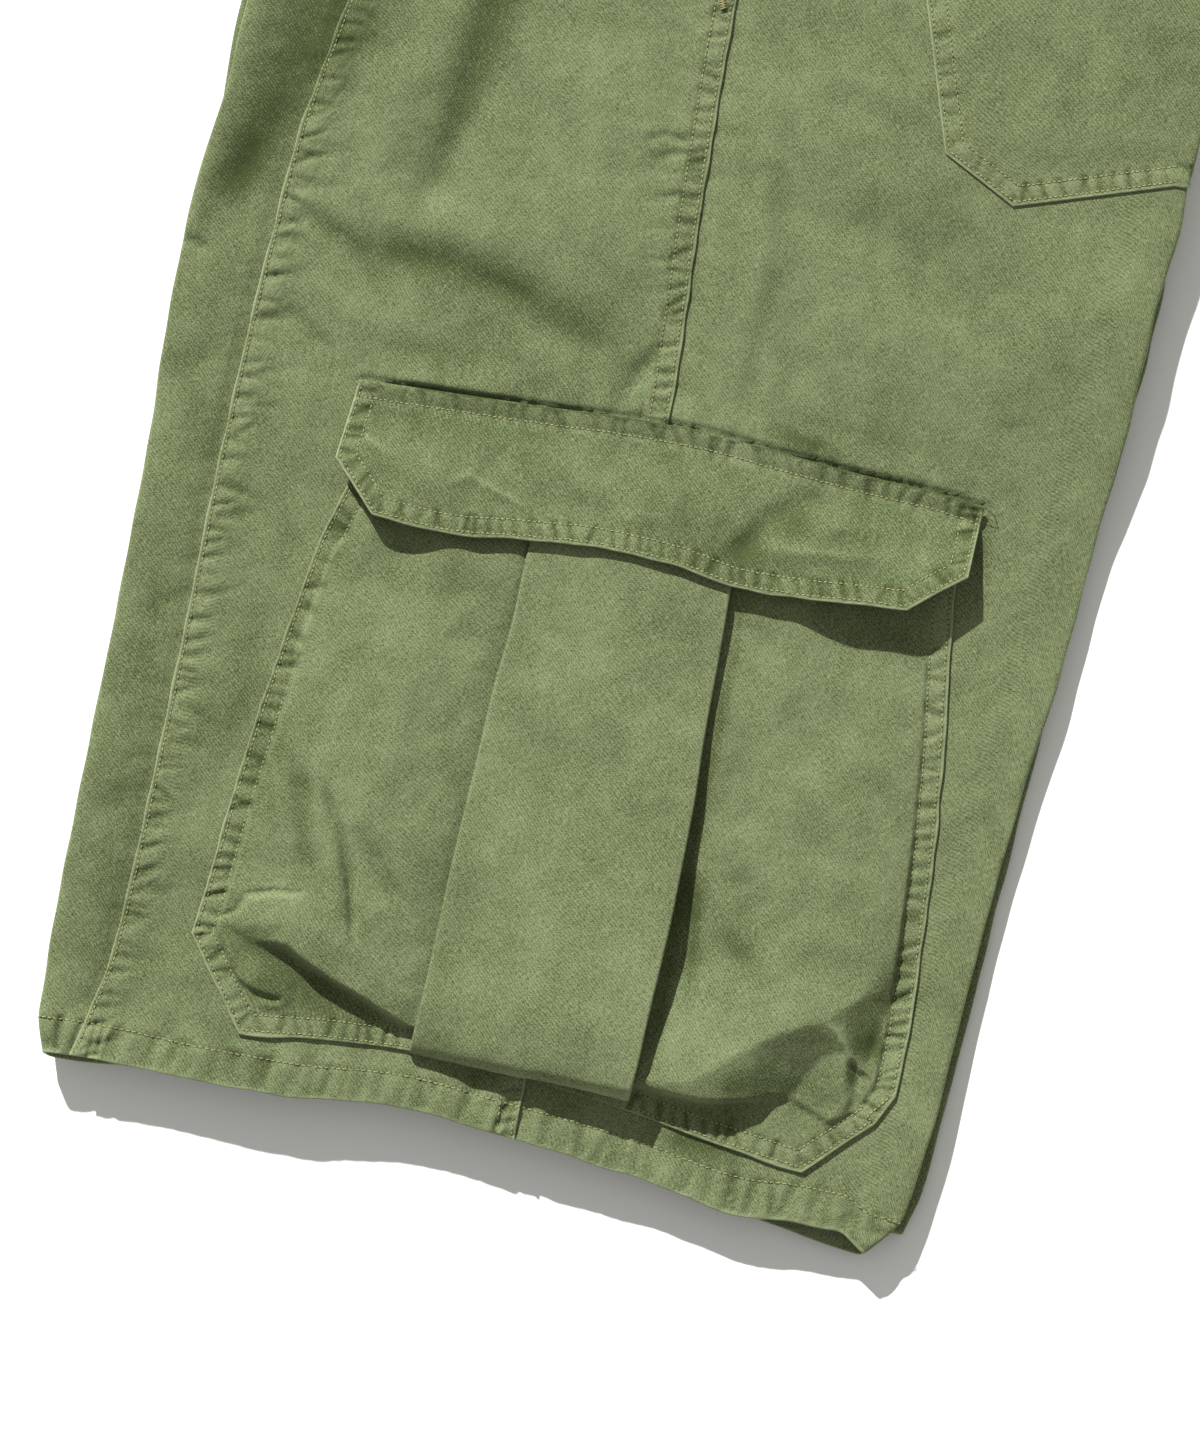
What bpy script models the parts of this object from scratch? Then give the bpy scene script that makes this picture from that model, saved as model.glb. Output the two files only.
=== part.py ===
"""Cargo shorts laid on their side and folded along the leg creases.

+X runs from the front crease to the back crease, +Y from the hems to the waist, +Z up
from the surface that the shorts lie on.  The near leg lies on the far leg, and the seat
and fly are turned in between them.  Every piece that is cut and sewn on is one wall of
cloth.  Sizes are in millimetres, from the foot of the side seam, until points are made.
"""

from collections import namedtuple
from math import cos, exp, hypot, pi, radians, sin, tan

import bmesh
import bpy
from mathutils import Vector

MM = 0.001

# Cloth
WALL = 1.2              # one layer of washed twill
FLAP_WALL = 2.0         # pocket flap, two layers turned out
BAND_WALL = 2.4         # waistband, two layers and its turned edges
LOOP_WALL = 1.6         # belt loop, folded strip
GAP = 0.3               # between pieces at a seam, and between layers that lie together

# Heights of the skins that face outwards
FAR_OUT = WALL + GAP                 # far leg lies on its own pocket
FAR_IN = FAR_OUT + 5.4               # upper skin of the far leg
NEAR_IN = FAR_IN + GAP               # lower skin of the near leg
FOLD_REACH = 5.0                     # how far the rounding of a crease runs in from its edge
FOLD_STEPS = 6

# Waist
WAIST_SEAM = 584.0                   # seam of the waistband above the hem, at the side seam
WAIST_SLOPE = 0.045                  # the waist rises towards the back
BAND_HEIGHT = 40.0
SLOPE_START = 430.0
HEM_FADE = 90.0                      # height over which the hem's unevenness dies out

# Across the leg, a row for each height: seams and creases of the near leg, inner edges of
# the front and back where they meet the inseam (below 350) or the centre seams (above),
# creases of the far leg, and the height of the near leg's upper skin.
Across = namedtuple("Across", "y front lap side back front_in back_in far_front far_back top")
LEG = [
    Across(0, -173, -163.5, 0, 131.5, -60, -60, -169, 144, 16),
    Across(15, -177, -160, -0.5, 143.5, -59, -59, -173, 148, 16),
    Across(42, -178.5, -155.5, -0.5, 147, -57, -57, -175, 150, 16),
    Across(90, -179, -154, 0, 150, -54, -54, -176, 153, 16),
    Across(150, -179, -153.5, 1, 154, -50, -50, -176, 156, 16),
    Across(210, -179.5, -153.5, 2, 160, -46, -46, -177, 159.5, 16),
    Across(262, -181.5, -152.5, 3, 163.5, -42, -42, -179, 163, 16),
    Across(300, -182, -151, 1.5, 166, -39, -39, -179.5, 166.5, 16),
    Across(335, -179, -149, -0.5, 167, -36, -36, -178, 168.5, 16),
    Across(370, -176.5, -144, -2, 169.5, -72, 10, -179, 168.5, 16),
    Across(400, -175.5, -138.5, -3, 169.5, -97, 38, -178.5, 168.5, 16),
    Across(440, -174.5, -129, -3.5, 169, -108, 58, -177, 168.5, 15.5),
    Across(490, -173, -116, -4, 168, -118, 75, -175, 167.5, 15),
    Across(540, -171, -104, -5, 166, -128, 98, -172.5, 165.5, 14.5),
    Across(WAIST_SEAM, -169, -95, -6, 164, -136, 114, -170, 163.5, 14),
    Across(WAIST_SEAM + BAND_HEIGHT, -168, -90, -7, 162, -139, 118, -169, 161.5, 13.5),
]
SEAM_ROW = len(LEG) - 2

# The hem edge over the leg's width: the near leg's upper and lower layer, and the far leg
Hem = namedtuple("Hem", "x upper lower far")
HEM = [
    Hem(-175, -2.5, -4, 2),
    Hem(-160, -1.5, -3.8, 2),
    Hem(-130, -2, -0.5, 2),
    Hem(-93, -1.7, 1, 3),
    Hem(-43, 3, 5, 6),
    Hem(0, 0, 3, 4),
    Hem(47, -5, -2, -1),
    Hem(85, -11, -10, -4),
    Hem(105, -9.3, -13.2, -5),
    Hem(120, -9.3, -15.5, -5.5),
    Hem(131, -15, -17, -6),
    Hem(144, -16, -17.5, -6.7),
]

# Soft folds of the near leg: a ridge or a trough along the line between two points
Fold = namedtuple("Fold", "x1 y1 x2 y2 width height")
FOLDS = [
    Fold(-160, 420, -160, 345, 9, -1.6),
    Fold(-160, 345, -172, 312, 9, -1.4),
    Fold(-118, 372, -62, 312, 22, 1.4),
    Fold(-70, 430, -98, 340, 14, -1.4),
    Fold(32, 430, 26, 320, 12, 1.2),
    Fold(-60, 520, -20, 450, 20, 1.2),
]

# Cargo pocket: each row gives the sewn sides, the height up the leg and the outer skin's
# rise above the leg of the cloth beside the pleat, and the same two for the pleat's face.
PocketRow = namedtuple("PocketRow", "left left_y right right_y body_y body face_y face")
POCKET = [
    PocketRow(-102.5, 238, 115, 238, 238, 1.8, 238, 6.6),
    PocketRow(-105, 222, 116.5, 225, 222, 2.6, 222, 7.4),
    PocketRow(-112, 198, 119, 203, 200, 4.5, 200, 9.0),
    PocketRow(-119, 150, 126.5, 150, 150, 7.0, 150, 12.5),
    PocketRow(-124.5, 100, 130, 105, 100, 8.0, 100, 14.5),
    PocketRow(-128, 66, 132, 70, 68, 8.0, 68, 15.5),
    PocketRow(-129, 50, 131, 42, 50, 6.5, 46, 15.0),
    PocketRow(-118, 35, 119, 25, 38, 4.2, 31, 13.0),
    PocketRow(-111, 25.5, 110, 15.5, 31, 2.4, 22, 9.5),
    PocketRow(-105, 17.6, 103, 9, 24, 1.5, 22.5, 4.8),
]
POCKET_BOTTOM = [(-105, 17.6), (-75, 22), (-44, 24), (-10, 24), (10, 21.5), (36, 17.5),
                 (64, 14), (103, 9)]
POCKET_RIM = WALL + GAP              # rise of the sewn edge above the leg
RIM_WIDTH = 7.5                      # between the pocket's edge and its inner stitching
PLEAT_LEFT = -40.0                   # outer folds of the box pleat
PLEAT_RIGHT = 38.0
PLEAT_DEPTH = 18.0                   # from an outer fold in to the hidden fold under the face
PLEAT_ROUND = 2.6                    # how far the rounding of an outer fold runs in
PLEAT_STEPS = 5
PUFF = [(0.16, 0.55), (0.45, 0.95), (1.0, 1.0)]   # share of the way in from the rim, of the rise

# Flap of the cargo pocket: a row for each point along it
FlapRow = namedtuple("FlapRow", "x top bottom rise")
FLAP = [
    FlapRow(-112, 257, 228, 4.3),
    FlapRow(-95, 258, 210, 8),
    FlapRow(-70, 259.3, 208.7, 9.5),
    FlapRow(-40, 261, 212, 12),
    FlapRow(-10, 263, 214.7, 12.5),
    FlapRow(15, 263.5, 213.8, 12.5),
    FlapRow(40, 262, 210.3, 12),
    FlapRow(80, 259.5, 213, 11),
    FlapRow(100, 259, 214.6, 12),
    FlapRow(120, 256.8, 231, 12),
]
FLAP_ROWS = [0, 0.2, 0.45, 0.72, 1]

# Back pocket: lower left corner before it is cut off, turn against the leg and sizes
BACK_POCKET_CORNER = (88.0, 358.0)
BACK_POCKET_TURN = radians(18.5)
BACK_POCKET_CUT = 22.0
BACK_POCKET_HEIGHT = 165.0
BACK_POCKET_ROWS = [0, BACK_POCKET_CUT, 60, 100, 135, BACK_POCKET_HEIGHT]
POCKET_FOLD_STEPS = 4                # how far it runs on round the crease, of FOLD_STEPS

# Belt loops: name and place along the waistband
BELT_LOOPS = [("front", -84.0), ("side", 6.0), ("back", 112.0)]
LOOP_WIDTH = 12.0
LOOP_OVERHANG = 9.0                  # how far a loop runs on below the waistband

TWILL = (0.235, 0.300, 0.145, 1.0)
TWILL_DARK = (0.190, 0.250, 0.115, 1.0)


def along(rows, key, value, column):
    """Value of a column where another column has the given value, between two rows."""
    places = [getattr(row, key) for row in rows]
    if value <= places[0]:
        return getattr(rows[0], column)
    for low, high, a, b in zip(rows, rows[1:], places, places[1:]):
        if value <= b:
            share = (value - a) / (b - a)
            return getattr(low, column) * (1 - share) + getattr(high, column) * share
    return getattr(rows[-1], column)


def fold_height(x, y):
    """Sum of the soft folds at a point of the near leg."""
    height = 0.0
    for fold in FOLDS:
        dx = fold.x2 - fold.x1
        dy = fold.y2 - fold.y1
        share = ((x - fold.x1) * dx + (y - fold.y1) * dy) / (dx * dx + dy * dy)
        share = min(max(share, 0.0), 1.0)
        distance = hypot(x - fold.x1 - share * dx, y - fold.y1 - share * dy)
        height += fold.height * exp(-(distance / fold.width) ** 2)
    return height


def skins(leg, x, y):
    """Heights of a leg's outer and inner skin, which both face away from its hollow."""
    if leg == "far":
        return FAR_OUT, FAR_IN
    return along(LEG, "y", y, "top") + fold_height(x, y), NEAR_IN


def crease(leg, edge, y):
    """Place across the leg of its front or back crease."""
    column = edge if leg == "near" else "far_" + edge
    return along(LEG, "y", y, column)


def on_top(leg, x, y, lift=0.0, shift=0.0):
    """Point on the broad outer face of a leg, raised from it by lift."""
    outer, inner = skins(leg, x, y)
    away = 1 if outer > inner else -1
    return (x, y + shift, outer + away * lift)


def round_crease(leg, edge, step, y, lift=0.0, shift=0.0):
    """Point on the rounding of a crease: step 0 is its outer end, FOLD_STEPS its inner end."""
    inwards = 1 if edge == "front" else -1
    start = crease(leg, edge, y) + inwards * FOLD_REACH
    outer, inner = skins(leg, start, y)
    turn = pi * step / FOLD_STEPS
    half = (outer - inner) / 2
    thick = abs(half)
    x = start - inwards * (FOLD_REACH + lift) * sin(turn)
    z = (outer + inner) / 2 + half * cos(turn) * (thick + lift) / thick
    return (x, y + shift, z)


def underneath(leg, x, y, shift=0.0):
    """Point on the inner face of a leg."""
    return (x, y + shift, skins(leg, x, y)[1])


def hem_shift(leg, layer, x, y):
    """How far the hem's line moves a point up or down the leg."""
    column = "far" if leg == "far" else layer
    fade = max(0.0, 1 - y / HEM_FADE)
    return along(HEM, "x", x, column) * fade


def waist_shift(x, y):
    """How far the slope of the waist moves a point up the leg."""
    share = min(max((y - SLOPE_START) / (WAIST_SEAM - SLOPE_START), 0.0), 1.0)
    return WAIST_SLOPE * x * share


def spread(start, end, count):
    """Even places from start to end, both included."""
    return [start + (end - start) * i / count for i in range(count + 1)]


def top_points(leg, start, end, count, y):
    """Points across the outer face of a leg."""
    points = []
    for x in spread(start, end, count):
        shift = hem_shift(leg, "upper", x, y) + waist_shift(x, y)
        points.append(on_top(leg, x, y, shift=shift))
    return points


def turned_points(leg, edge, inner_edge, count, y):
    """Points round a crease and on along the inner face, to a piece's inner edge."""
    inwards = 1 if edge == "front" else -1
    edge_x = crease(leg, edge, y)
    upper = hem_shift(leg, "upper", edge_x, y)
    lower = hem_shift(leg, "lower", edge_x, y)
    points = []
    for step in range(1, FOLD_STEPS):
        share = step / FOLD_STEPS
        shift = upper * (1 - share) + lower * share + waist_shift(edge_x, y)
        points.append(round_crease(leg, edge, step, y, shift=shift))
    for x in spread(edge_x + inwards * FOLD_REACH, inner_edge, count):
        shift = hem_shift(leg, "lower", x, y) + waist_shift(x, y)
        points.append(underneath(leg, x, y, shift=shift))
    return points


def fabric(name, colour):
    """Plain matt cotton."""
    material = bpy.data.materials.new(name)
    material.use_nodes = True
    shader = material.node_tree.nodes["Principled BSDF"]
    shader.inputs["Base Color"].default_value = colour
    shader.inputs["Roughness"].default_value = 0.85
    shader.inputs["Metallic"].default_value = 0.0
    return material


def sew(name, rows, wall, colour, flip=False):
    """Loft a sheet through rows of points and give it its wall, inwards from the skin."""
    mesh = bpy.data.meshes.new(name)
    sheet = bmesh.new()
    grid = [[sheet.verts.new(Vector(point) * MM) for point in row] for row in rows]
    for low, high in zip(grid, grid[1:]):
        for i in range(len(low) - 1):
            corners = [low[i], low[i + 1], high[i + 1], high[i]]
            sheet.faces.new(corners[::-1] if flip else corners)
    sheet.to_mesh(mesh)
    sheet.free()
    mesh.materials.append(fabric(name + "_cloth", colour))
    piece = bpy.data.objects.new(name, mesh)
    thickness = piece.modifiers.new("wall", "SOLIDIFY")
    thickness.thickness = wall * MM
    thickness.offset = -1
    thickness.use_even_offset = True
    return piece


def front_side_panel(leg):
    """Outer front, between the lapped front seam and the side seam."""
    rows = []
    for across in LEG[:SEAM_ROW + 1]:
        start = across.lap + GAP / 2
        end = across.side - GAP / 2
        rows.append(top_points(leg, start, end, 7, across.y))
    return sew(leg + "_front_side", rows, WALL, TWILL, flip=leg == "far")


def front_inner_panel(leg):
    """Inner front, from the lapped seam round the front crease to the inseam."""
    rows = []
    for across in LEG[:SEAM_ROW + 1]:
        start = crease(leg, "front", across.y) + FOLD_REACH
        top = top_points(leg, start, across.lap - GAP / 2, 2, across.y)
        turned = turned_points(leg, "front", across.front_in - GAP / 2, 4, across.y)
        rows.append(turned[::-1] + top)
    return sew(leg + "_front_inner", rows, WALL, TWILL, flip=leg == "far")


def back_panel(leg):
    """Back, from the side seam round the back crease to the inseam."""
    rows = []
    for across in LEG[:SEAM_ROW + 1]:
        end = crease(leg, "back", across.y) - FOLD_REACH
        top = top_points(leg, across.side + GAP / 2, end, 7, across.y)
        turned = turned_points(leg, "back", across.back_in + GAP / 2, 5, across.y)
        rows.append(top + turned)
    return sew(leg + "_back", rows, WALL, TWILL, flip=leg == "far")


def waistband(leg):
    """Half of the waistband, turned in at both creases."""
    rows = []
    for y in (WAIST_SEAM + GAP, WAIST_SEAM + BAND_HEIGHT / 2, WAIST_SEAM + BAND_HEIGHT):
        start = crease(leg, "front", y) + FOLD_REACH
        end = crease(leg, "back", y) - FOLD_REACH
        front = turned_points(leg, "front", along(LEG, "y", y, "front_in"), 2, y)
        back = turned_points(leg, "back", along(LEG, "y", y, "back_in"), 2, y)
        rows.append(front[::-1] + top_points(leg, start, end, 10, y) + back)
    return sew(leg + "_waistband", rows, BAND_WALL, TWILL_DARK, flip=leg == "far")


def bottom_edge(x):
    """Height of the pocket's lower edge."""
    for (x1, y1), (x2, y2) in zip(POCKET_BOTTOM, POCKET_BOTTOM[1:]):
        if x <= x2:
            share = max((x - x1) / (x2 - x1), 0.0)
            return y1 * (1 - share) + y2 * share
    return POCKET_BOTTOM[-1][1]


def pocket_point(row, x, height, lift):
    """Point of a pocket row, on the lower edge if it is the last row."""
    if row is POCKET[-1]:
        height = bottom_edge(x)
    return on_top("near", x, height, lift=lift)


def pocket_half(row, side, edge, edge_y, pleat):
    """Points of a pocket row from its sewn edge to the top of the pleat's outer fold."""
    inwards = -side
    rim = edge + inwards * RIM_WIDTH
    hidden = pleat + inwards * PLEAT_DEPTH
    places = [(edge, POCKET_RIM), (rim, POCKET_RIM)]
    for share, height in PUFF:
        rise = POCKET_RIM + (row.body - POCKET_RIM) * height
        places.append((rim + (pleat - rim) * share, rise))
    places.append((hidden, row.body))
    places.append((hidden + inwards * GAP, row.body + GAP / 2))
    places.append((hidden, row.body + GAP))
    points = []
    for x, rise in places:
        share = min((x - edge) / (pleat - edge), 1.0)
        height = edge_y + (row.body_y - edge_y) * share
        points.append(pocket_point(row, x, height, rise))
    fold_in = pleat + inwards * PLEAT_ROUND
    low = row.body + GAP
    for step in range(PLEAT_STEPS + 1):
        turn = pi * step / PLEAT_STEPS
        share = step / PLEAT_STEPS
        x = fold_in + side * PLEAT_ROUND * sin(turn)
        rise = (low + row.face) / 2 - (row.face - low) / 2 * cos(turn)
        height = row.body_y * (1 - share) + row.face_y * share
        points.append(pocket_point(row, x, height, rise))
    return points


def cargo_pocket():
    """Near cargo pocket, one piece of cloth with its box pleat folded into it."""
    rows = []
    for row in reversed(POCKET):
        left = pocket_half(row, -1, row.left, row.left_y, PLEAT_LEFT)
        right = pocket_half(row, 1, row.right, row.right_y, PLEAT_RIGHT)
        face = []
        for x in spread(PLEAT_LEFT + PLEAT_ROUND, PLEAT_RIGHT - PLEAT_ROUND, 4)[1:-1]:
            face.append(pocket_point(row, x, row.face_y, row.face))
        rows.append(left + face + right[::-1])
    return sew("near_cargo_pocket", rows, WALL, TWILL)


def flap_rise(row, share):
    """Rise of the flap's outer skin above the leg, from its seam down to its free edge."""
    seam = FLAP_WALL + GAP
    return seam + (row.rise - seam) * sin(share * pi / 2) ** 0.9


def cargo_flap():
    """Near flap, sewn on above the pocket and lying over the pleat."""
    rows = []
    for share in reversed(FLAP_ROWS):
        line = []
        for row in FLAP:
            y = row.top + (row.bottom - row.top) * share
            line.append(on_top("near", row.x, y, lift=flap_rise(row, share)))
        rows.append(line)
    return sew("near_cargo_flap", rows, FLAP_WALL, TWILL_DARK)


def far_cargo_pocket():
    """Far cargo pocket, pressed flat under the leg up to the edge of its flap."""
    rows = []
    for row in reversed(POCKET[2:]):
        line = []
        for x in spread(row.left, row.right, 6):
            share = (x - row.left) / (row.right - row.left)
            y = row.left_y * (1 - share) + row.right_y * share
            line.append(on_top("far", x, y, lift=POCKET_RIM))
        rows.append(line)
    return sew("far_cargo_pocket", rows, WALL, TWILL, flip=True)


def far_cargo_flap():
    """Far flap, pressed flat above its pocket."""
    rows = []
    for share in (1, 0):
        line = []
        for row in FLAP:
            y = row.top + (row.bottom - row.top) * share
            line.append(on_top("far", row.x, y, lift=POCKET_RIM))
        rows.append(line)
    return sew("far_cargo_flap", rows, WALL, TWILL_DARK, flip=True)


def back_pocket(leg):
    """Back patch pocket with a cut-off corner, which runs on round the back crease."""
    corner_x, corner_y = BACK_POCKET_CORNER
    slope = tan(BACK_POCKET_TURN)
    rows = []
    for up in BACK_POCKET_ROWS:
        cut = max(BACK_POCKET_CUT - up, 0)
        left = corner_x + cut * cos(BACK_POCKET_TURN) - up * sin(BACK_POCKET_TURN)
        left_y = corner_y + cut * sin(BACK_POCKET_TURN) + up * cos(BACK_POCKET_TURN)
        end = crease(leg, "back", left_y) - FOLD_REACH
        end_y = left_y + (end - left) * slope
        end = crease(leg, "back", end_y - waist_shift(end, end_y)) - FOLD_REACH
        line = []
        for x in spread(left, end, 6):
            y = left_y + (x - left) * slope
            shift = waist_shift(x, y)
            line.append(on_top(leg, x, y - shift, lift=POCKET_RIM, shift=shift))
        for step in range(1, POCKET_FOLD_STEPS + 1):
            reach = FOLD_REACH * pi / 2 * step / FOLD_STEPS
            y = left_y + (end + reach - left) * slope
            shift = waist_shift(end, y)
            line.append(round_crease(leg, "back", step, y - shift, lift=POCKET_RIM, shift=shift))
        rows.append(line)
    return sew(leg + "_back_pocket", rows, WALL, TWILL_DARK, flip=leg == "far")


def belt_loop(leg, name, x):
    """Belt loop across the waistband, from below its seam to just under its top."""
    rows = []
    wall = LOOP_WALL if leg == "near" else WALL
    bottom = WAIST_SEAM - LOOP_OVERHANG
    for y in spread(bottom, WAIST_SEAM + BAND_HEIGHT - 2 * GAP, 3):
        line = []
        for across in (x - LOOP_WIDTH / 2, x + LOOP_WIDTH / 2):
            line.append(on_top(leg, across, y, lift=wall + GAP, shift=waist_shift(across, y)))
        rows.append(line)
    return sew(leg + "_belt_loop_" + name, rows, wall, TWILL_DARK, flip=leg == "far")


def clear_scene():
    """Remove whatever the scene holds."""
    for item in list(bpy.data.objects):
        bpy.data.objects.remove(item, do_unlink=True)


def centre(pieces, carrier):
    """Move the carrier so that the shorts' box stands centred over the origin."""
    bpy.context.view_layer.update()
    depsgraph = bpy.context.evaluated_depsgraph_get()
    corners = []
    for piece in pieces:
        shape = piece.evaluated_get(depsgraph)
        corners += [shape.matrix_world @ Vector(corner) for corner in shape.bound_box]
    low = Vector(min(corner[i] for corner in corners) for i in range(3))
    high = Vector(max(corner[i] for corner in corners) for i in range(3))
    carrier.location = (-(low.x + high.x) / 2, -(low.y + high.y) / 2, -low.z)


def main():
    """Cut, fold and lay every piece."""
    clear_scene()
    shorts = bpy.data.collections.new("cargo_shorts")
    bpy.context.scene.collection.children.link(shorts)
    carrier = bpy.data.objects.new("shorts_origin", None)
    shorts.objects.link(carrier)
    pieces = []
    for leg in ("near", "far"):
        pieces += [front_side_panel(leg), front_inner_panel(leg), back_panel(leg)]
        pieces += [waistband(leg), back_pocket(leg)]
        pieces += [belt_loop(leg, name, x) for name, x in BELT_LOOPS]
    pieces += [cargo_pocket(), cargo_flap(), far_cargo_pocket(), far_cargo_flap()]
    for piece in pieces:
        shorts.objects.link(piece)
        piece.parent = carrier
    centre(pieces, carrier)


main()
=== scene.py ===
"""Looks of the cargo shorts: washed twill panels, pleated cargo pockets, flaps, stitches and a studio."""

import math
from collections import namedtuple

import bpy
import numpy as np
from mathutils import Matrix, Vector
from mathutils.geometry import delaunay_2d_cdt


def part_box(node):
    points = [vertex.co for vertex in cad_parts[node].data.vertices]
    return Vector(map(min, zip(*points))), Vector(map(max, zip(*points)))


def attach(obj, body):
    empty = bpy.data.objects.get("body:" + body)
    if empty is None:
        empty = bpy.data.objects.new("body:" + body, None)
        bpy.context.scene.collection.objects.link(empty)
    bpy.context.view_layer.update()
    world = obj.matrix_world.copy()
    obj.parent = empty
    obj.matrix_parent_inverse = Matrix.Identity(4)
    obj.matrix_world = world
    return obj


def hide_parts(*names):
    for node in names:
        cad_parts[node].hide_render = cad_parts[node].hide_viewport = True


bl_info = {
    "name": "Cargo shorts",
    "version": (1, 0, 0),
    "blender": (4, 5, 0),
    "location": "3D View > Sidebar > Shorts",
    "description": "Builds the cloth, stitches and stage of folded cargo shorts",
    "category": "Add Mesh",
}

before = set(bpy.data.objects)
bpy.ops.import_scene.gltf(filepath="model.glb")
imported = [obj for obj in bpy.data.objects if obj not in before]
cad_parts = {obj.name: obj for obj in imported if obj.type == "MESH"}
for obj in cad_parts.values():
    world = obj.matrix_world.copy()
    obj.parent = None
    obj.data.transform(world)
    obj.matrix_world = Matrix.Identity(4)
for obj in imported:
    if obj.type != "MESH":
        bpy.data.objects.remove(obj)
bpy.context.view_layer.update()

# ----------------------------------------
# Sizes in millimetres. x runs from the side seam to the back, y up from the foot of the side seam.

MM = 0.001

# Heights of the faces of the folded legs, and how much they are pressed or rolled
FAR_OUT = 1.5
INNER_FACE = {"far": 6.9, "near": 7.2}
LEG_FACE = 16.0
UNDERSIDE = 0.02
PATCH_UNDERSIDE = 0.05
BACK_DROP = 6.5
ROLL = 5.0

# Where the counting of gathers starts: in front of the leg and below its hem
BEFORE_LEG = 180.0
BELOW_HEM = 10.0

# How far in a crease's rounding starts, and how square the rounding is
FOLD_REACH = 5.0
FOLD_BEND = 0.32
INWARDS = {"front": 1, "back": -1}
UP = (0, 0, 1)
DOWN = (0, 0, -1)

WAIST_SEAM = 584.0
WAIST_SLOPE = 0.045
BAND_HEIGHT = 40.0
SLOPE_START = 430.0
HEM_FADE = 90.0
HEM_DEPTH = 12.0
LEG_LENGTH = 600.0
# How far the edge under a lapped seam is pressed down
TUCKED = 0.2


def rows_of(kind, *values):
    """Table of rows of one kind."""
    return [kind(*row) for row in values]


Across = namedtuple("Across", "y front lap side back front_in back_in far_front far_back top")
LEG = rows_of(
    Across,
    (0, -173, -163.5, 0, 131.5, -60, -60, -169, 144, 16),
    (15, -177, -160, -0.5, 143.5, -59, -59, -173, 148, 16),
    (42, -178.5, -155.5, -0.5, 147, -57, -57, -175, 150, 16),
    (90, -179, -154, 0, 150, -54, -54, -176, 153, 16), (150, -179, -153.5, 1, 154, -50, -50, -176, 156, 16),
    (210, -179.5, -153.5, 2, 160, -46, -46, -177, 159.5, 16),
    (262, -181.5, -152.5, 3, 163.5, -42, -42, -179, 163, 16),
    (300, -182, -151, 1.5, 166, -39, -39, -179.5, 166.5, 16),
    (335, -179, -149, -0.5, 167, -36, -36, -178, 168.5, 16),
    (370, -176.5, -144, -2, 169.5, -72, 10, -179, 168.5, 16),
    (400, -175.5, -138.5, -3, 169.5, -97, 38, -178.5, 168.5, 16),
    (440, -174.5, -129, -3.5, 169, -108, 58, -177, 168.5, 15.5),
    (490, -173, -116, -4, 168, -118, 75, -175, 167.5, 15),
    (540, -171, -104, -5, 166, -128, 98, -172.5, 165.5, 14.5),
    (584, -169, -95, -6, 164, -136, 114, -170, 163.5, 14),
    (624, -168, -90, -7, 162, -139, 118, -169, 161.5, 13.5),
)

Hem = namedtuple("Hem", "x upper lower far")
HEM = rows_of(
    Hem,
    (-175, -2.5, -4, 2), (-160, -1.5, -3.8, 2), (-130, -2, -0.5, 2), (-93, -1.7, 1, 3), (-43, 3, 5, 6),
    (0, 0, 3, 4), (47, -5, -2, -1), (85, -11, -10, -4), (105, -9.3, -13.2, -5), (120, -9.3, -15.5, -5.5),
    (131, -15, -17, -6), (144, -16, -17.5, -6.7),
)

# A soft ridge (height above 0) or trough along the line between two points
Fold = namedtuple("Fold", "x1 y1 x2 y2 width height")
LEG_FOLDS = rows_of(
    Fold,
    # strip in front of the lapped seam
    (-152, 440, -152, 352, 9, -2), (-152, 352, -168, 313, 8, -2.6), (-181, 296, -171, 291, 2.2, -1.4),
    (-170, 400, -172, 350, 5, 1.2), (-160, 262, -172, 246, 5, -0.7), (-158, 170, -172, 152, 6, -0.8),
    (-158, 96, -170, 84, 5, -0.7),
    # outer front
    (-122, 378, -112, 332, 14, 2.2), (-86, 410, -92, 352, 7, -2.6), (-92, 352, -98, 322, 6, -1.8),
    (-146, 313, -125.4, 306, 4, -1.7), (-125.4, 306, -104.4, 288.1, 4.5, -1.7),
    (-125, 303, -83, 303.5, 6, -1.6), (-83, 303.5, -60, 296.5, 6, -1.9), (-60, 296.5, -38, 285, 7, -2.1),
    (-38, 285, -26, 288, 8, -1.8), (-104, 320, -62, 314, 8, 1.4), (-60, 520, -20, 450, 20, 1.8),
    (-26.1, 361.3, -18.5, 365.6, 1.6, -1), (-18.5, 365.6, -10, 364, 1.6, -1),
    (-20, 356, -15, 359.6, 1.4, -1.1), (-15, 359.6, -9.4, 360, 1.4, -1.1), (-17, 342.6, -8, 345.6, 1.7, -1),
    (-16, 320, -2, 322.4, 1.2, -0.8), (-15, 270, -3, 296, 3.5, -1.3), (-40, 276, -30, 290, 5, 0.8),
    (-60, 400, -30, 372, 9, -1.1), (-136, 295, -113, 273, 4, 1), (-141.5, 277.8, -118.8, 262.8, 3, -1.2),
    # back
    (16, 390, 27, 300, 5.5, 1.6), (27, 318, 33, 268, 4, -0.9), (52, 427, 68, 407, 4, -1.3),
    (68, 407, 84, 392, 6, -1), (74, 352, 108, 322, 12, -2.2), (38, 392, 58, 384, 6, -1),
    (30, 350, 66, 343, 6, -1), (120, 300, 150, 262, 14, -1.4), (46, 274, 68, 270, 3.5, -0.9),
)

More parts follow.
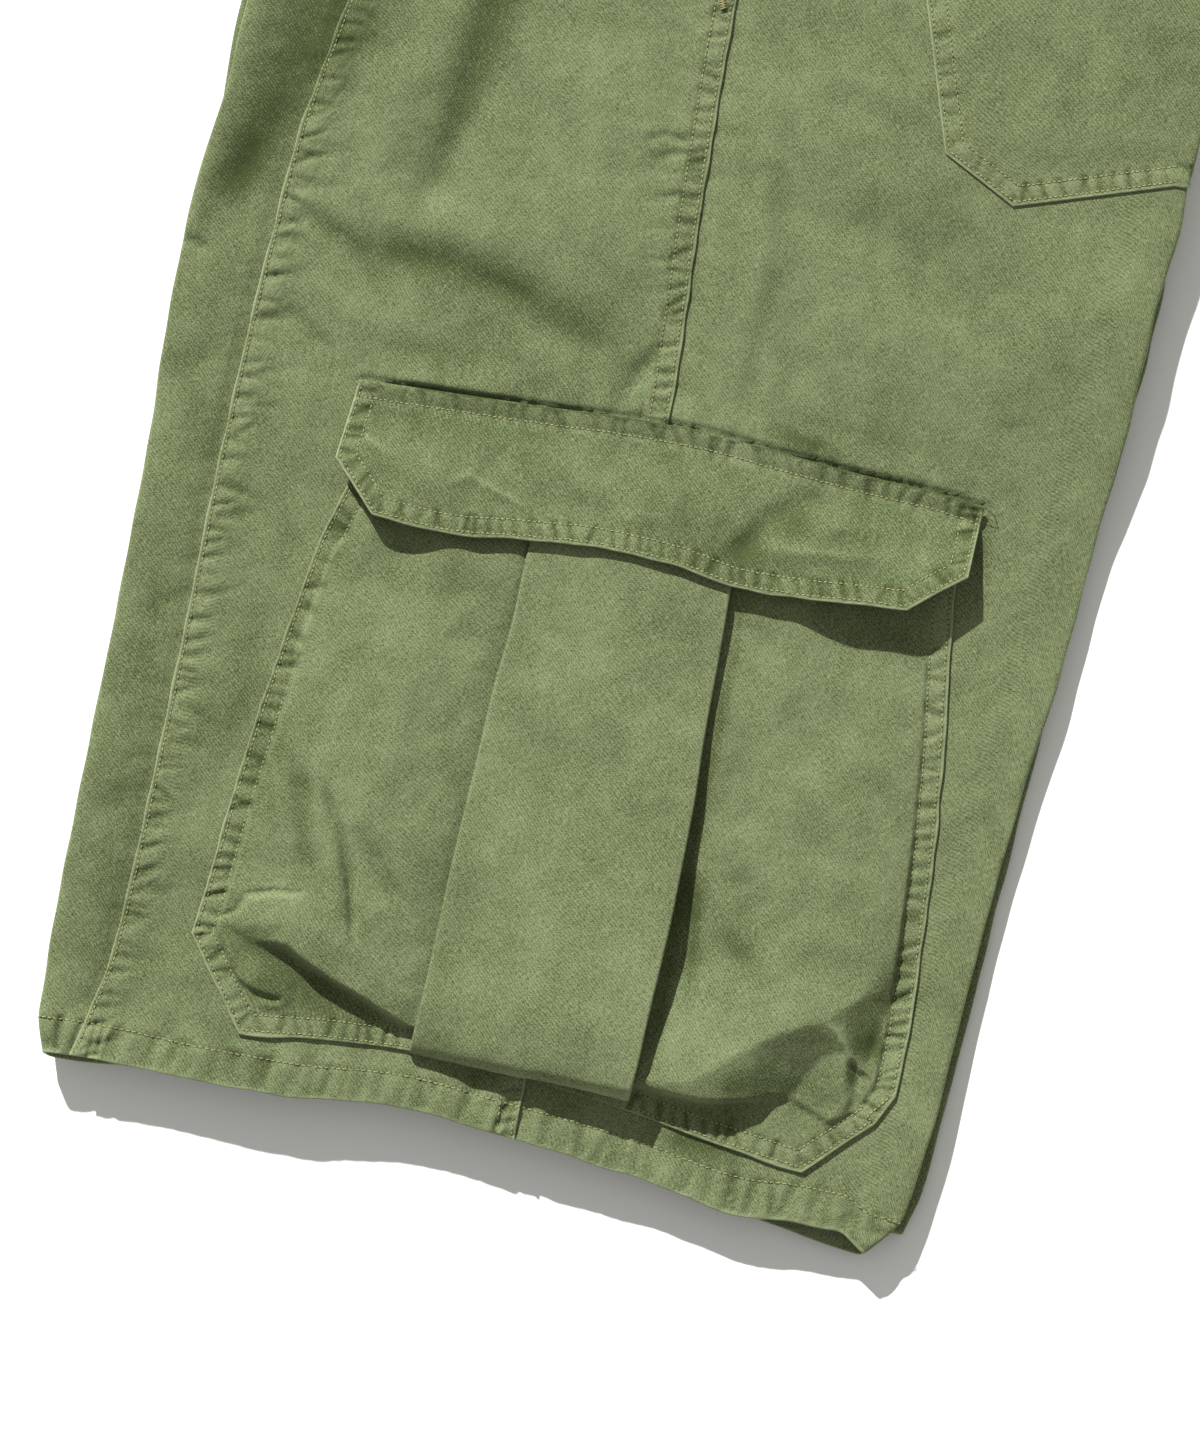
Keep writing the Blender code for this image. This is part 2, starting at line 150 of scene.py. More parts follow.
# Cargo pocket: height, left and right sewn edge
Side = namedtuple("Side", "y left right")
POCKET_SIDES = rows_of(
    Side,
    (238, -102.5, 115), (221, -105.5, 116.6), (197.6, -112.1, 119.7), (171.5, -116, 123.6),
    (134.8, -121.1, 127.7), (99.2, -124.8, 130.1), (66.3, -127.3, 131.9), (49.8, -129.1, 131.6),
    (42.1, -123.3, 131.4), (31.1, -115.1, 125.9), (17.6, -105, 112.2), (8.8, -105, 103.3),
)
POCKET_TOP = 238.0
# Height of the pocket above its lower edge, and the lowest place of each side
POCKET_RISE = 214.2
CORNER_LOW = {"left": 17.6, "right": 8.8}
Point = namedtuple("Point", "x y")
POCKET_BOTTOM = rows_of(
    Point,
    (-105, 17.6), (-75, 21.6), (-43.8, 23.8), (-10, 23.6), (10, 21.5), (40.5, 17.8), (64.4, 13.8),
    (103.3, 8.8),
)
RIM_RISE = 1.5
EDGE_ROW = 1.6
INNER_ROW = 7.3

# The box pleat: height, its left and right outer fold, and the rise of its face
Pleat = namedtuple("Pleat", "y left right rise_left rise_right")
PLEAT = rows_of(
    Pleat,
    (238, -36.5, 34.6, 6.4, 6.4), (208, -37.8, 36.8, 7.8, 8.2), (187, -38, 37.5, 8.6, 9.2),
    (160, -40, 38, 9.2, 10.4), (133, -40.8, 39.2, 9.6, 12.4), (97, -42.1, 39.4, 10, 15.4),
    (82, -42.3, 39, 10, 16), (59, -42.7, 38.2, 9.8, 16.4), (44, -43.2, 37.9, 9.4, 16.6),
    (34, -43.6, 37.3, 8.2, 16.2), (27, -43.6, 36.9, 6, 15.2), (23, -43.4, 36.6, 3, 11.4),
)
PLEAT_DEPTH = 18.0
# Radius of the pleat's outer folds, and how far above the rim its face starts
PLEAT_ROLL = 1.0
FACE_START = 8.0
LIP = rows_of(
    Point,
    (-45, 22.8), (-25, 22.6), (-3, 22.2), (2, 22.6), (20, 22.4), (37, 21.7),
)

# Rise of the pocket's puffed cloth beside the pleat, along its ridges, valleys and edges
PUFF_LEFT = [
    [(-103, 240, 1.6), (-106, 221, 2), (-112, 198, 2.3), (-116, 171, 2.6), (-121, 135, 3), (-125, 99, 3.2),
     (-127, 78, 2.8), (-128, 66, 2.4)],
    [(-90, 240, 2.2), (-93, 221, 3.2), (-93, 206, 4.8), (-98, 190, 4.8), (-103, 160, 5.6),
     (-108, 130, 6.2), (-110, 100, 6.4), (-110, 84, 5.8), (-108, 76, 5.2)],
    [(-83, 240, 1.6), (-83, 215, 1.4), (-83, 201, 1.8), (-85, 188, 4.2), (-88, 165, 6.8), (-91, 135, 7.6),
     (-92, 108, 8), (-91, 90, 8.4)],
    [(-68, 240, 3), (-67, 206, 7), (-66, 188, 5.6), (-70, 160, 8), (-72, 130, 8.8), (-75, 100, 9.2)],
    [(-52, 240, 3), (-55, 206, 6.6), (-51, 184, 4.8), (-54, 155, 7.2), (-56, 125, 8.2), (-58, 80, 8.8)],
    [(-40, 240, 3), (-41, 208, 7), (-39, 185, 4.8), (-40, 150, 5.4), (-42, 100, 6), (-43, 60, 6.4),
     (-44, 45, 6), (-44.5, 34, 5.2)],
    [(-18, 240, 2), (-18, 200, 4.2), (-18, 150, 4), (-18, 90, 4), (-20, 40, 3.4), (-20, 22, 2)],
    # lower corner: crease, bulge under it, and the edge that hangs over the rim
    [(-132, 50, 1.4), (-121.5, 57.8, 2), (-114.6, 62.4, 3.2), (-112.6, 68.4, 4.6), (-103, 71.2, 6.6),
     (-90.6, 73.8, 8.2)],
    [(-118, 55.8, 3.2), (-112.4, 59.8, 5.4), (-110.2, 65.2, 6.6), (-103, 68.4, 7.6), (-92, 70.6, 8.8)],
    [(-111, 55.4, 5.4), (-105, 59, 7.8), (-97, 60, 9.6), (-88, 60, 10.6), (-76, 56, 10.8), (-62, 50, 9.8),
     (-50, 42, 7.8)],
    [(-112, 52, 2.8), (-107.4, 51.8, 4), (-101, 53, 7), (-93.5, 52.6, 9.8), (-86, 48.4, 10.8),
     (-76, 43.9, 10.8), (-66, 40.6, 10), (-58, 37.2, 8.6), (-51, 34.6, 7), (-45, 32.2, 5.4), (-37, 30, 5)],
    [(-107, 49.6, 3), (-101.6, 49.6, 3), (-94.4, 49.6, 2.2), (-85.6, 45.4, 1.8), (-75, 41.2, 1.6),
     (-65.4, 38.2, 1.4), (-57.2, 35.2, 1.4), (-50.6, 32.8, 1.4), (-44.7, 30.8, 1.4), (-37, 28.4, 1.4)],
    # small dome between that edge and the rim
    [(-107, 46.4, 2.8), (-100, 46.4, 2.6), (-93, 44.4, 2.2), (-88.4, 42, 1.7)],
    [(-110, 41.5, 2.8), (-103, 41, 4), (-96, 40.4, 3.8), (-91, 38.6, 3), (-88.2, 38, 2)],
    [(-111, 39.2, 2.8), (-107.6, 37.2, 3.4), (-103.4, 35.4, 4), (-98, 34.4, 4), (-93.2, 34.4, 3.4),
     (-89.6, 35, 2.6)],
    [(-111.4, 37.4, 1.5), (-107.6, 35.4, 1.3), (-103.6, 33.4, 1.2), (-98, 32.6, 1.2), (-93.4, 32.5, 1.3)],
    [(-99, 29.6, 2.2), (-94.5, 30.4, 2.6), (-91.3, 31.8, 2.6)],
    [(-99, 27.6, 1.5), (-93.5, 28.2, 1.6), (-89.4, 30.4, 1.6), (-87, 34.4, 1.6), (-86.6, 39.6, 1.6)],
    [(-132, 44, 1.4), (-110, 14, 1.4), (-75, 14, 1.4), (-40, 14, 1.4), (-20, 14, 1.4)],
]
PUFF_RIGHT = [
    [(115, 240, 1.6), (117, 221, 1.6), (119.7, 198, 1.5), (123.6, 171, 1.4), (127.7, 135, 1.4),
     (130, 99, 1.7), (132, 84, 1.9)],
    [(100, 240, 2), (101, 215, 2), (103, 199, 2.2), (107, 180, 3), (109, 150, 4.2), (112, 118, 5.6),
     (116, 98, 6.4)],
    [(123.4, 94, 4), (120, 85, 6), (116, 79.6, 7.8), (112.1, 75.4, 9.2), (107.6, 71, 10.5),
     (103.4, 67.4, 11.3)],
    [(80, 240, 2.4), (84, 212, 2), (85, 197, 2.4), (87, 180, 4.4), (89, 140, 5.8), (90, 100, 7.6),
     (88, 78, 10.4)],
    [(60, 240, 3), (60, 206, 5.6), (66, 190, 6.4), (66, 160, 7.4), (66, 120, 7.8), (66, 84, 9),
     (60, 54, 11.6)],
    [(40, 240, 3), (42, 204, 4.8), (42, 187, 5), (42.5, 160, 6.4), (44, 134, 7), (46.5, 100, 6.4),
     (47.5, 82, 6), (46.5, 71, 6.2), (45, 59, 7.4), (43.5, 44, 9.4), (41, 33, 9.9)],
    [(18, 240, 2), (18, 200, 3), (18, 90, 3), (18, 40, 3), (20, 22, 1.6)],
    # lower corner: ridge above the shaded slope, the edge below it and the foot of that edge
    [(38, 30.8, 10.4), (48, 31, 11.6), (56, 33, 12.6), (62, 37.2, 13.4), (68, 43, 13.8), (78, 51.6, 13.6),
     (88, 58.4, 13), (96, 62.4, 12.2), (101.2, 64.2, 11.6)],
    [(38, 28.2, 9.4), (50, 27.6, 10.6), (62, 27.6, 11), (70, 29, 10.8), (80, 31.4, 9.2), (87, 35, 6),
     (92, 36.4, 4.2)],
    [(38, 26.6, 1.8), (50, 25.8, 1.7), (62, 25.4, 1.7), (70, 26.8, 1.9), (78, 29, 2), (86, 31.8, 2.2),
     (93.4, 34.2, 2.6)],
    # facet in front of the slope: its left edge, its crest and its foot
    [(93.4, 34.2, 2.6), (98, 43.4, 3.4), (102.5, 51.2, 5.2), (106, 57.4, 8.2)],
    [(106, 57.4, 8.2), (109.4, 54.6, 6.8), (111.6, 49, 6.2), (112, 44.7, 5.6), (114.6, 38, 4.2),
     (113.5, 32.4, 3.2), (109.4, 29.4, 3.4), (101, 32.4, 3.4), (95, 34.6, 3)],
    [(113.4, 51.4, 3.6), (116.2, 47.4, 2.2), (116.4, 43, 1.9), (116.8, 38, 1.8)],
    [(93.4, 33, 1.6), (101, 30.6, 1.5), (109.3, 27.6, 1.4), (116, 30.6, 1.4)],
    [(119.2, 47.6, 2.8), (119.8, 42.6, 2.4)],
    # pale ridge across the corner, and the valley beyond it
    [(101.2, 64.2, 11.6), (106.3, 61.8, 10.9), (109.5, 57.8, 9.6), (112.6, 53.4, 7.8), (116.4, 50.4, 5.6),
     (122.4, 47.4, 3), (132, 42, 1.5)],
    [(104.6, 65, 10.4), (108.6, 62.8, 8.8), (112.2, 59.2, 6.8), (115.4, 55, 4.4), (118.4, 52, 2.6)],
    [(124.8, 88, 2.4), (122.8, 76, 2.1), (121.2, 66, 1.9), (120, 58, 1.7), (119.4, 54, 1.9)],
    [(126, 80, 2.6), (125, 68, 3), (123.6, 60, 3), (121.6, 53, 2.6)],
    [(134, 40, 1.4), (112, 4, 1.4), (70, 8, 1.4), (40, 14, 1.4), (20, 14, 1.4)],
]
# Half of the pocket on each side: its column, its puffed lines, and the seeds of its edge and of its cloth
POCKET_HALVES = {-1: ("left", PUFF_LEFT, 65, 53), 1: ("right", PUFF_RIGHT, 66, 57)}
POCKET_FOLDS = rows_of(
    Fold,
    (-92.3, 111, -82.7, 94.7, 2.4, -1.4), (-82.7, 94.7, -77.2, 81.8, 1.8, -2),
    (-77.2, 81.8, -71.2, 59.2, 1.6, -2), (-86, 92, -78, 64, 3.6, 1.5), (-102.5, 116, -96, 95, 4.4, -2.6),
    (-96, 95, -91, 79.1, 3.6, -2.2), (-76, 97, -53.6, 71, 2.8, -2.2), (-113, 67.4, -103, 70.8, 0.9, -1.1),
    (-103, 70.8, -91, 72.4, 0.8, -0.8), (-122, 56.6, -114.3, 61.2, 1.1, -1),
    (-114.3, 61.2, -112.4, 66.4, 1.1, -0.8), (-86, 150, -96, 112, 7, 1), (-64, 150, -54, 110, 6, -1.3),
    (-66, 208, -50, 196, 4, 0.6), (-60, 176, -44, 170, 5, -0.8), (-70, 66, -56, 56, 5, -0.6),
    (124.6, 92, 124, 56, 1.1, -1.3), (58, 112, 72, 94, 6, -2.2), (66, 176, 78, 150, 7, -1),
    (50, 196, 60, 186, 4, -1), (92, 168, 100, 130, 6, 0.8), (56, 96, 60, 70, 5, 0.7),
    (96, 110, 108, 96, 4, -0.4), (84, 130, 92, 118, 5, -0.6),
)

FlapRow = namedtuple("FlapRow", "x top bottom rise")
FLAP = rows_of(
    FlapRow,
    (-112, 257, 228, 8), (-95, 258, 210, 11), (-70, 259.3, 208.7, 10.8), (-40, 261, 212, 11),
    (-10, 263, 214.7, 11.2), (15, 263.5, 213.8, 11.2), (40, 262, 210.3, 11), (60, 260.6, 211, 12.2),
    (80, 259.5, 213, 14), (100, 259, 214.6, 14), (120, 256.8, 231, 11.5),
)
FLAP_LEAN = 2.7
FLAP_INNER = 7.0
FLAP_SEAM_ROW = 6.2
LOOSE_END = [(0, 0, 0.2), (1.6, 0.6, 0.9), (3.2, 0.2, 0.8), (4.9, -1, -0.4), (6.2, -2.6, -1.6),
             (6.7, -4.2, -2.2)]
FLAP_FOLDS = rows_of(
    Fold,
    (66, 249, 54, 244, 4.5, -0.9), (54, 244, 45, 236, 4.8, -1.9), (45, 236, 35, 220, 4.4, -1.8),
    (72, 246, 60, 226, 6, 1.5), (44, 226, 84, 230, 3, 0.9), (64, 238, 84, 240, 2.4, 0.5),
    (-104, 237, -91, 233, 3, 0.5), (-69, 227.3, -63.5, 231.4, 1.8, 0.4),
    (-63.5, 231.4, -41, 224.2, 1.8, 0.6), (-88, 246, -78, 226, 4, -1.3), (-64, 222, -50, 246, 4, -0.9),
    (-60, 247, -20, 238, 8, 1), (84, 240, 106, 236, 5, -1.1), (-4, 244, 20, 236, 6, 1.2),
    (-28, 230, -8, 222, 5, -1), (8, 250, 20, 232, 3, -1), (-10, 226, 12, 230, 3, 0.7),
)

# How much the leg swells above the flap's seam
SeamPuff = namedtuple("SeamPuff", "x swell")
SEAM_PUFF = rows_of(
    SeamPuff,
    (-118, 0.1), (-98, 0.4), (-88, 0.8), (-60, 0.9), (-50, 0.45), (-20, 0.45), (8, 0.45), (16, 0.25),
    (24, 0.35), (34, 0.7), (58, 0.75), (78, 0.6), (100, 0.6), (118, 0.4), (124, 0.2),
)

# Lines of painted shade (below 0) and painted highlight (above 0) in the cloth's colour, where folds, edges
# and overhangs shade it or light falls on it
LEG_PAINTED_SHADING = rows_of(
    Fold,
    (-143, 470, -150, 378, 18, -0.9), (-150, 378, -161, 335, 12, -0.9), (-161, 335, -173, 311, 9, -1.5),
    (-124, 470, -135, 372, 12, -0.8), (-140, 332, -134, 316, 7, 0.5), (-83, 450, -90, 374, 10, -1.2),
    (-90, 374, -97, 334, 6, -0.7), (-125.4, 309.2, -104.4, 288.1, 5, -0.5), (-112, 305, -86, 303, 9, -1.1),
    (-86, 303, -58, 297, 9, -0.9), (-58, 297, -24, 290, 10, -0.8), (-157, 104, -154, 26, 12, -0.6),
    (50, 13, 74, 10, 6, -1.1), (-164, 290, -166, 14, 9, -0.3), (-122, 225, -136, 100, 7, -0.3),
    (40, 268.5, 68, 267, 4, -0.9), (-8, 372, -4, 300, 5, -0.35), (-60, 402, -34, 366, 12, 0.15),
    (-70, 380, -40, 330, 22, 0.3), (-130, 350, -122, 330, 12, 0.3), (-142, 290, -132, 276, 7, 0.25),
    (-139, 392, -147, 358, 10, -0.65), (-153, 240, -146, 170, 13, -0.15), (-146, 170, -140, 110, 13, -0.15),
    (-165, 175, -163, 125, 6, -0.4), (-132, 116, -124, 150, 5, -0.45), (-160, 236, -160, 215, 7, -0.4),
    (-104, 273, -60, 270, 6, -0.5), (-60, 271, -30, 270, 6, -0.4), (140, 330, 138, 300, 10, -0.3),
    (96, 334, 108, 326, 6, -0.3), (-170, 20, -150, 20, 6, -0.5), (123, 250, 124, 226, 4, -0.6),
    (-82, 450, -86, 385, 9, -0.5), (-162, 328, -164, 314, 6, -0.5), (-178, 310, -176, 292, 6, -0.5),
    (-140, 311, -126, 305, 5, -0.6), (-112, 307, -92, 302, 5, -0.4), (-112, 293, -104, 287, 5, -0.35),
    (-70, 301, -40, 304, 6, -0.35), (-26, 312, -14, 318, 5, -0.35), (-136, 275, -122, 262, 4, -0.35),
    (-98, 270, -78, 267, 5, -0.45), (-19, 268, -6, 292, 4, -0.5), (-24, 359, -10, 358, 5, -0.5),
    (-22, 343, -10, 343, 4, -0.4), (40, 269, 60, 266, 3, -0.5), (-147, 322, -138, 314, 4, 0.4),
    (-90, 330, -40, 326, 12, 0.3), (40, 285, 70, 281, 9, 0.3), (58, 12, 90, 6, 5, -0.6),
    (60, -8, 90, -9, 5, 0.3), (84, 338, 100, 328, 7, -0.35), (110, 356, 140, 350, 8, -0.3),
    (33, 345, 27, 290, 3.5, -0.35), (50, 335, 62, 305, 10, 0.25), (146, 290, 136, 255, 12, 0.15),
    (153, 237, 152, 222, 8, -0.4), (92, 18, 112, 12, 6, -0.4), (-60, 6, -6, 6, 6, -0.4),
    (-34, 19, -8, 19, 4, -0.7), (-84, 400, -92, 350, 8, -0.35), (-40, 352, -14, 360, 6, -0.4),
    (-84, 282, -50, 284, 10, -0.45),
)
# Painted shade and highlight on the flap
FLAP_PAINTED_SHADING = rows_of(
    Fold,
    (-104, 250, -20, 252, 9, -0.3), (-104, 250, -76, 250, 6, -0.35), (-20, 252, 60, 254, 9, -0.1),
    (60, 254, 116, 250, 7, -0.1), (-44, 259.5, 110, 258, 3, 0.3), (60, 243, 50, 236, 6, -0.5),
    (50, 242, 42, 232, 5, -0.6), (42, 232, 34, 219, 5, -0.9), (34, 222, 50, 221, 6, -0.6),
    (117, 250, 116, 234, 4, -0.4), (50, 240, 62, 234, 6, -0.5), (-76, 232, -60, 230, 6, 0.3),
    (-46, 224, -22, 219, 6, 0.3),
)
# Painted shade on the pocket: under the flap, beside the pleat and in its lower corners, with a few painted
# highlights
POCKET_PAINTED_SHADING = rows_of(
    Fold,
    (-106, 230, 118, 230, 16, -1), (-120, 128, -112, 94, 9, -0.6), (-123, 62, -106, 34, 8, -0.5),
    (-106, 39, -88, 37, 7, -0.6), (-112, 216, -100, 178, 9, -0.45), (111, 66, 119, 53, 5, -0.9),
    (42, 205, 42, 100, 2.5, -0.9), (42, 100, 42, 30, 3, -1), (-114, 54, -98, 46, 6, -0.8),
    (-98, 46, -50, 31, 5, -0.8), (-106, 34, -90, 30, 5, -0.4), (44, 18, 88, 22, 6, -0.6),
    (62, 28, 97, 54, 7, -0.5), (117, 60, 122, 92, 4, -0.5), (56, 114, 72, 92, 8, -0.5),
    (-124, 110, -106, 225, 4, -0.25), (68, 31, 84, 38, 5, -0.8), (88, 36, 95, 46, 4, -0.5),
    (113.6, 49.6, 115, 43, 2.2, -1.5), (114, 66, 122, 56, 4, -0.5), (-68, 180, -62, 150, 10, 0.25),
    (113, 160, 116, 84, 6, 0.15), (124.5, 128, 123, 68, 4, -0.6), (122, 62, 117, 48, 4, -0.6),
    (-124, 92, -114, 74, 6, -0.4), (46, 104, 51, 60, 3, -0.6), (60, 36, 96, 38, 6, -0.35),
    (50, 112, 84, 108, 8, 0.3), (45, 104, 47, 88, 3, -0.6), (60, 86, 70, 80, 6, -0.4),
    (-88, 38, -74, 32, 4, -0.6), (-113, 74, -106, 68, 6, -0.35), (-102, 116, -96, 95, 3.8, -0.8),
    (-96, 95, -91, 79, 3.2, -0.8), (-93, 112, -82.6, 94.6, 2, -0.6), (-82.6, 94.6, -76.6, 80, 1.6, -0.5),
    (-76.6, 80, -71.2, 57, 1.4, -0.5), (-75, 94, -54, 70, 2.2, -0.5), (-60, 150, -50, 120, 7, -0.3),
    (-122, 118, -112, 195, 5, -0.5), (97, 35, 108, 50, 7, -0.8), (119, 66, 123, 54, 3, -1),
    (45, 108, 50, 68, 3.5, -0.5), (54, 92, 72, 77, 4.5, -0.5), (-92, 35, -68, 27, 6, -0.6),
    (-100, 187, -50, 194, 7, -0.5), (88, 205, 112, 203, 6, -0.5),
)

# Pale lines, whose height is how pale they are: abraded cloth on the flap, and painted highlights along the
# crests of the pocket's ridges and folds
FLAP_RUBS = rows_of(
    Fold,
    (-104, 238, -98, 235.5, 1.1, 0.55), (-98, 235.5, -91, 233, 0.9, 0.4),
    (-69, 227.3, -63.5, 231.4, 1.2, 0.4), (-63.5, 231.4, -52, 227.6, 0.9, 0.6),
    (-52, 227.6, -41, 224.2, 0.9, 0.6), (-109.4, 250, -110.4, 236, 1, 0.6), (46, 227, 82, 231, 0.9, 0.3),
)
# Painted highlights along the crests of the pocket's ridges and folds
POCKET_PAINTED_HIGHLIGHTS = rows_of(
    Fold,
    (101.2, 63.6, 106, 61.4, 0.8, 0.9), (106, 61.4, 112.2, 53.8, 0.8, 0.9),
    (112.2, 53.8, 120, 48.6, 0.8, 0.6), (-128, 51, -117, 59.6, 0.8, 0.6), (-113, 66.6, -93, 70.6, 0.9, 0.4),
    (-62, 38.4, -45, 32.8, 0.7, 0.4),
)

BACK_POCKET_CORNER = (88.0, 358.0)
BACK_POCKET_TURN = math.radians(18.5)
BACK_POCKET_CUT = 22.0
BACK_POCKET_HEIGHT = 165.0
BACK_POCKET_ROW = 7.0

BELT_LOOPS = [("front", -84.0), ("side", 6.0), ("back", 112.0)]
LOOP_WIDTH = 12.0
LOOP_LOW = WAIST_SEAM - 9.0
LOOP_ROW = 4.4
BAND_ROW = 1.8
FAR_BAND = FAR_OUT - 0.3

# Stage: half the floor and the height of the view in metres, the sensor and the aim in millimetres
FLOOR_REACH = 12.0
VIEW_HEIGHT = 0.5184
SENSOR = 36.0
AIM = (-0.1, 154.3, 0)
VIEW_TURN = math.radians(11.48)
LIGHT_FROM = (-0.537, 0.844)

# Gathers along a seam: seed of their places, distance between two, width of one, length of the row
Gathers = namedtuple("Gathers", "seed pitch width length uneven", defaults=(660, 0.6))
HEM_GATHERS = Gathers(31, 5.4, 1.15, 360)
ABOVE_HEM = Gathers(32, 13, 2.6, 360)
LAP_GATHERS = Gathers(33, 6.4, 1.0)
BEHIND_LAP = Gathers(38, 15, 2.0)
BEFORE_LAP = Gathers(37, 10, 1.8)
BEFORE_SIDE = Gathers(36, 11, 1.5)
BEHIND_SIDE = Gathers(39, 12, 2.0)
ABOVE_FLAP = Gathers(22, 6.5, 1.2)
FLAP_GATHERS = Gathers(73, 5.6, 1.3)
BAND_GATHERS = Gathers(91, 8, 1.5, 360)

# Double-stitched edges: seed, place of the inner row, distance between two gathers, and their depth
Rim = namedtuple("Rim", "seed inner pitch depth")
SIDE_RIM = Rim(35, INNER_ROW, 5.0, 0.9)
POCKET_RIM = Rim(52, INNER_ROW, 5.4, 1.2)
FLAP_RIM = Rim(71, FLAP_INNER, 4.6, 0.9)
BACK_POCKET_RIM = Rim(81, BACK_POCKET_ROW, 5.4, 0.75)

# Section of an edge that is folded under: how far in from the edge, and how far below the top
Turned = namedtuple("Turned", "inward drop")
TURNED_EDGE = rows_of(
    Turned,
    (6, 0.95), (2.4, 1), (0.5, 0.95), (0.1, 0.75), (0, 0.5), (0.1, 0.25), (0.35, 0.07), (0.7, 0),
)
TURNED_HEM = rows_of(
    Turned,
    (12, 1.35), (6, 1.4), (1.6, 1.35), (0.5, 1.2), (0.1, 0.95), (0, 0.65), (0.15, 0.33), (0.5, 0.1), (1, 0),
)

FOOT = Vector((
    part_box("near_cargo_flap")[0].x / MM - FLAP[0].x,
    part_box("far_cargo_flap")[1].y / MM - max(row.top for row in FLAP),
    0,
))


# ----------------------------------------
# Settings

class ClothSettings(bpy.types.PropertyGroup):
    """Colours of the cloth and size of its stitches."""

    twill: bpy.props.FloatVectorProperty(
        name="Twill", description="Colour of the washed cloth", subtype="COLOR", size=3,
        min=0, max=1, default=(0.141, 0.171, 0.083))
    # Dark end of the cloth's tone: deeper dye, and painted shade where the shading lines and gather dips
    # darken the cloth; also the needle holes' painted shade
    deep_dye_and_shade: bpy.props.FloatVectorProperty(
        name="Deep", description="Colour where the dye has stayed", subtype="COLOR", size=3,
        min=0, max=1, default=(0.052, 0.070, 0.023))
    # Pale colour of abraded edges and creases, also used for painted highlights along the pocket's ridges
    worn_and_highlight: bpy.props.FloatVectorProperty(
        name="Worn", description="Colour of rubbed edges and creases", subtype="COLOR", size=3,
        min=0, max=1, default=(0.27, 0.315, 0.185))
    thread: bpy.props.FloatVectorProperty(
        name="Thread", description="Colour of the stitches", subtype="COLOR", size=3,
        min=0, max=1, default=(0.275, 0.28, 0.115))
    weave: bpy.props.FloatProperty(
        name="Weave", description="Distance between two twill lines", subtype="DISTANCE",
        unit="LENGTH", min=0.0002, max=0.003, default=0.00075)
    pitch: bpy.props.FloatProperty(
        name="Stitch length", description="From one needle hole to the next", subtype="DISTANCE",
        unit="LENGTH", min=0.001, max=0.006, default=0.00192)
    thread_width: bpy.props.FloatProperty(
        name="Thread width", description="Width of a stitch", subtype="DISTANCE", unit="LENGTH",
        min=0.0002, max=0.002, default=0.00055)
    pucker: bpy.props.FloatProperty(
        name="Pucker", description="Strength of the gathers along the seams", min=0, max=3, default=1.0)


class StageSettings(bpy.types.PropertyGroup):
    """Floor, light and camera."""

    floor: bpy.props.FloatVectorProperty(
        name="Floor", description="Colour of the floor", subtype="COLOR", size=3, min=0, max=1,
        default=(0.94, 0.94, 0.94))
    key: bpy.props.FloatProperty(
        name="Key light", description="Strength of the main light", min=0, max=20, default=6.3)
    fill: bpy.props.FloatProperty(
        name="Fill light", description="Strength of the light from all round", min=0, max=5, default=0.41)
    height: bpy.props.FloatProperty(
        name="Light height", description="Angle of the main light above the floor",
        subtype="ANGLE", min=0.1, max=1.5, default=math.radians(33))
    camera_height: bpy.props.FloatProperty(
        name="Camera height", description="Height of the camera above the floor",
        subtype="DISTANCE", unit="LENGTH", min=0.5, max=10, default=2.6)


# ----------------------------------------
# Smooth lines, soft folds and gathers

def smooth(low, high, value):
    """Share of the way from low to high, eased at both ends."""
    share = np.clip((value - low) / (high - low), 0, 1)
    return share * share * (3 - 2 * share)


def zone_between(value, start, full, fading, end):
    """0 up to start, 1 from full to fading, and 0 again from end on."""
    return smooth(start, full, value) * (1 - smooth(fading, end, value))


def ease_through(places, heights, at):
    """Smooth line through a table's values, which never overshoots them."""
    places = np.asarray(places, float)
    heights = np.asarray(heights, float)
    step = np.diff(places)
    rise = np.diff(heights) / step
    slope = np.zeros_like(heights)
    slope[0] = rise[0]
    slope[-1] = rise[-1]
    product = rise[1:] * rise[:-1]
    total = rise[1:] + rise[:-1]
    safe = np.where(product > 0, total, 1)
    slope[1:-1] = np.where(product > 0, 2 * product / safe, 0)
    at = np.clip(at, places[0], places[-1])
    i = np.clip(np.searchsorted(places, at) - 1, 0, len(places) - 2)
    t = (at - places[i]) / step[i]
    start = heights[i] * (1 + 2 * t) * (1 - t) ** 2 + slope[i] * step[i] * t * (1 - t) ** 2
    end = heights[i + 1] * t * t * (3 - 2 * t) + slope[i + 1] * step[i] * t * t * (t - 1)
    return start + end


def through(table, key, column, at):
    """Smooth value of a table's column where another column has the given value."""
    rows = sorted(table, key=lambda row: getattr(row, key))
    return ease_through([getattr(row, key) for row in rows], [getattr(row, column) for row in rows], at)


def leg_line(column, y):
    """Value of one of the leg's columns at some heights up the leg."""
    return through(LEG, "y", column, y)


def flap_line(column, x):
    """Value of one of the flap's columns at some places across it."""
    return through(FLAP, "x", column, x)


def straight(table, key, column, at):
    """The same with straight lines between the rows, for cut-off corners."""
    rows = sorted(table, key=lambda row: getattr(row, key))
    return np.interp(at, [getattr(row, key) for row in rows], [getattr(row, column) for row in rows])


def rumple(x, y, size, seed):
    """Unevenness of soft cloth, about -1 to 1, with humps about size across."""
    luck = np.random.default_rng(seed)
    total = 0
    for angle, phase, stretch in luck.uniform((0, 0, 0.7), (math.pi, 2 * math.pi, 1.5), (16, 3)):
        wave = math.pi * stretch / size
        total = total + np.sin(wave * (x * math.cos(angle) + y * math.sin(angle)) + phase)
    return total / 5.0


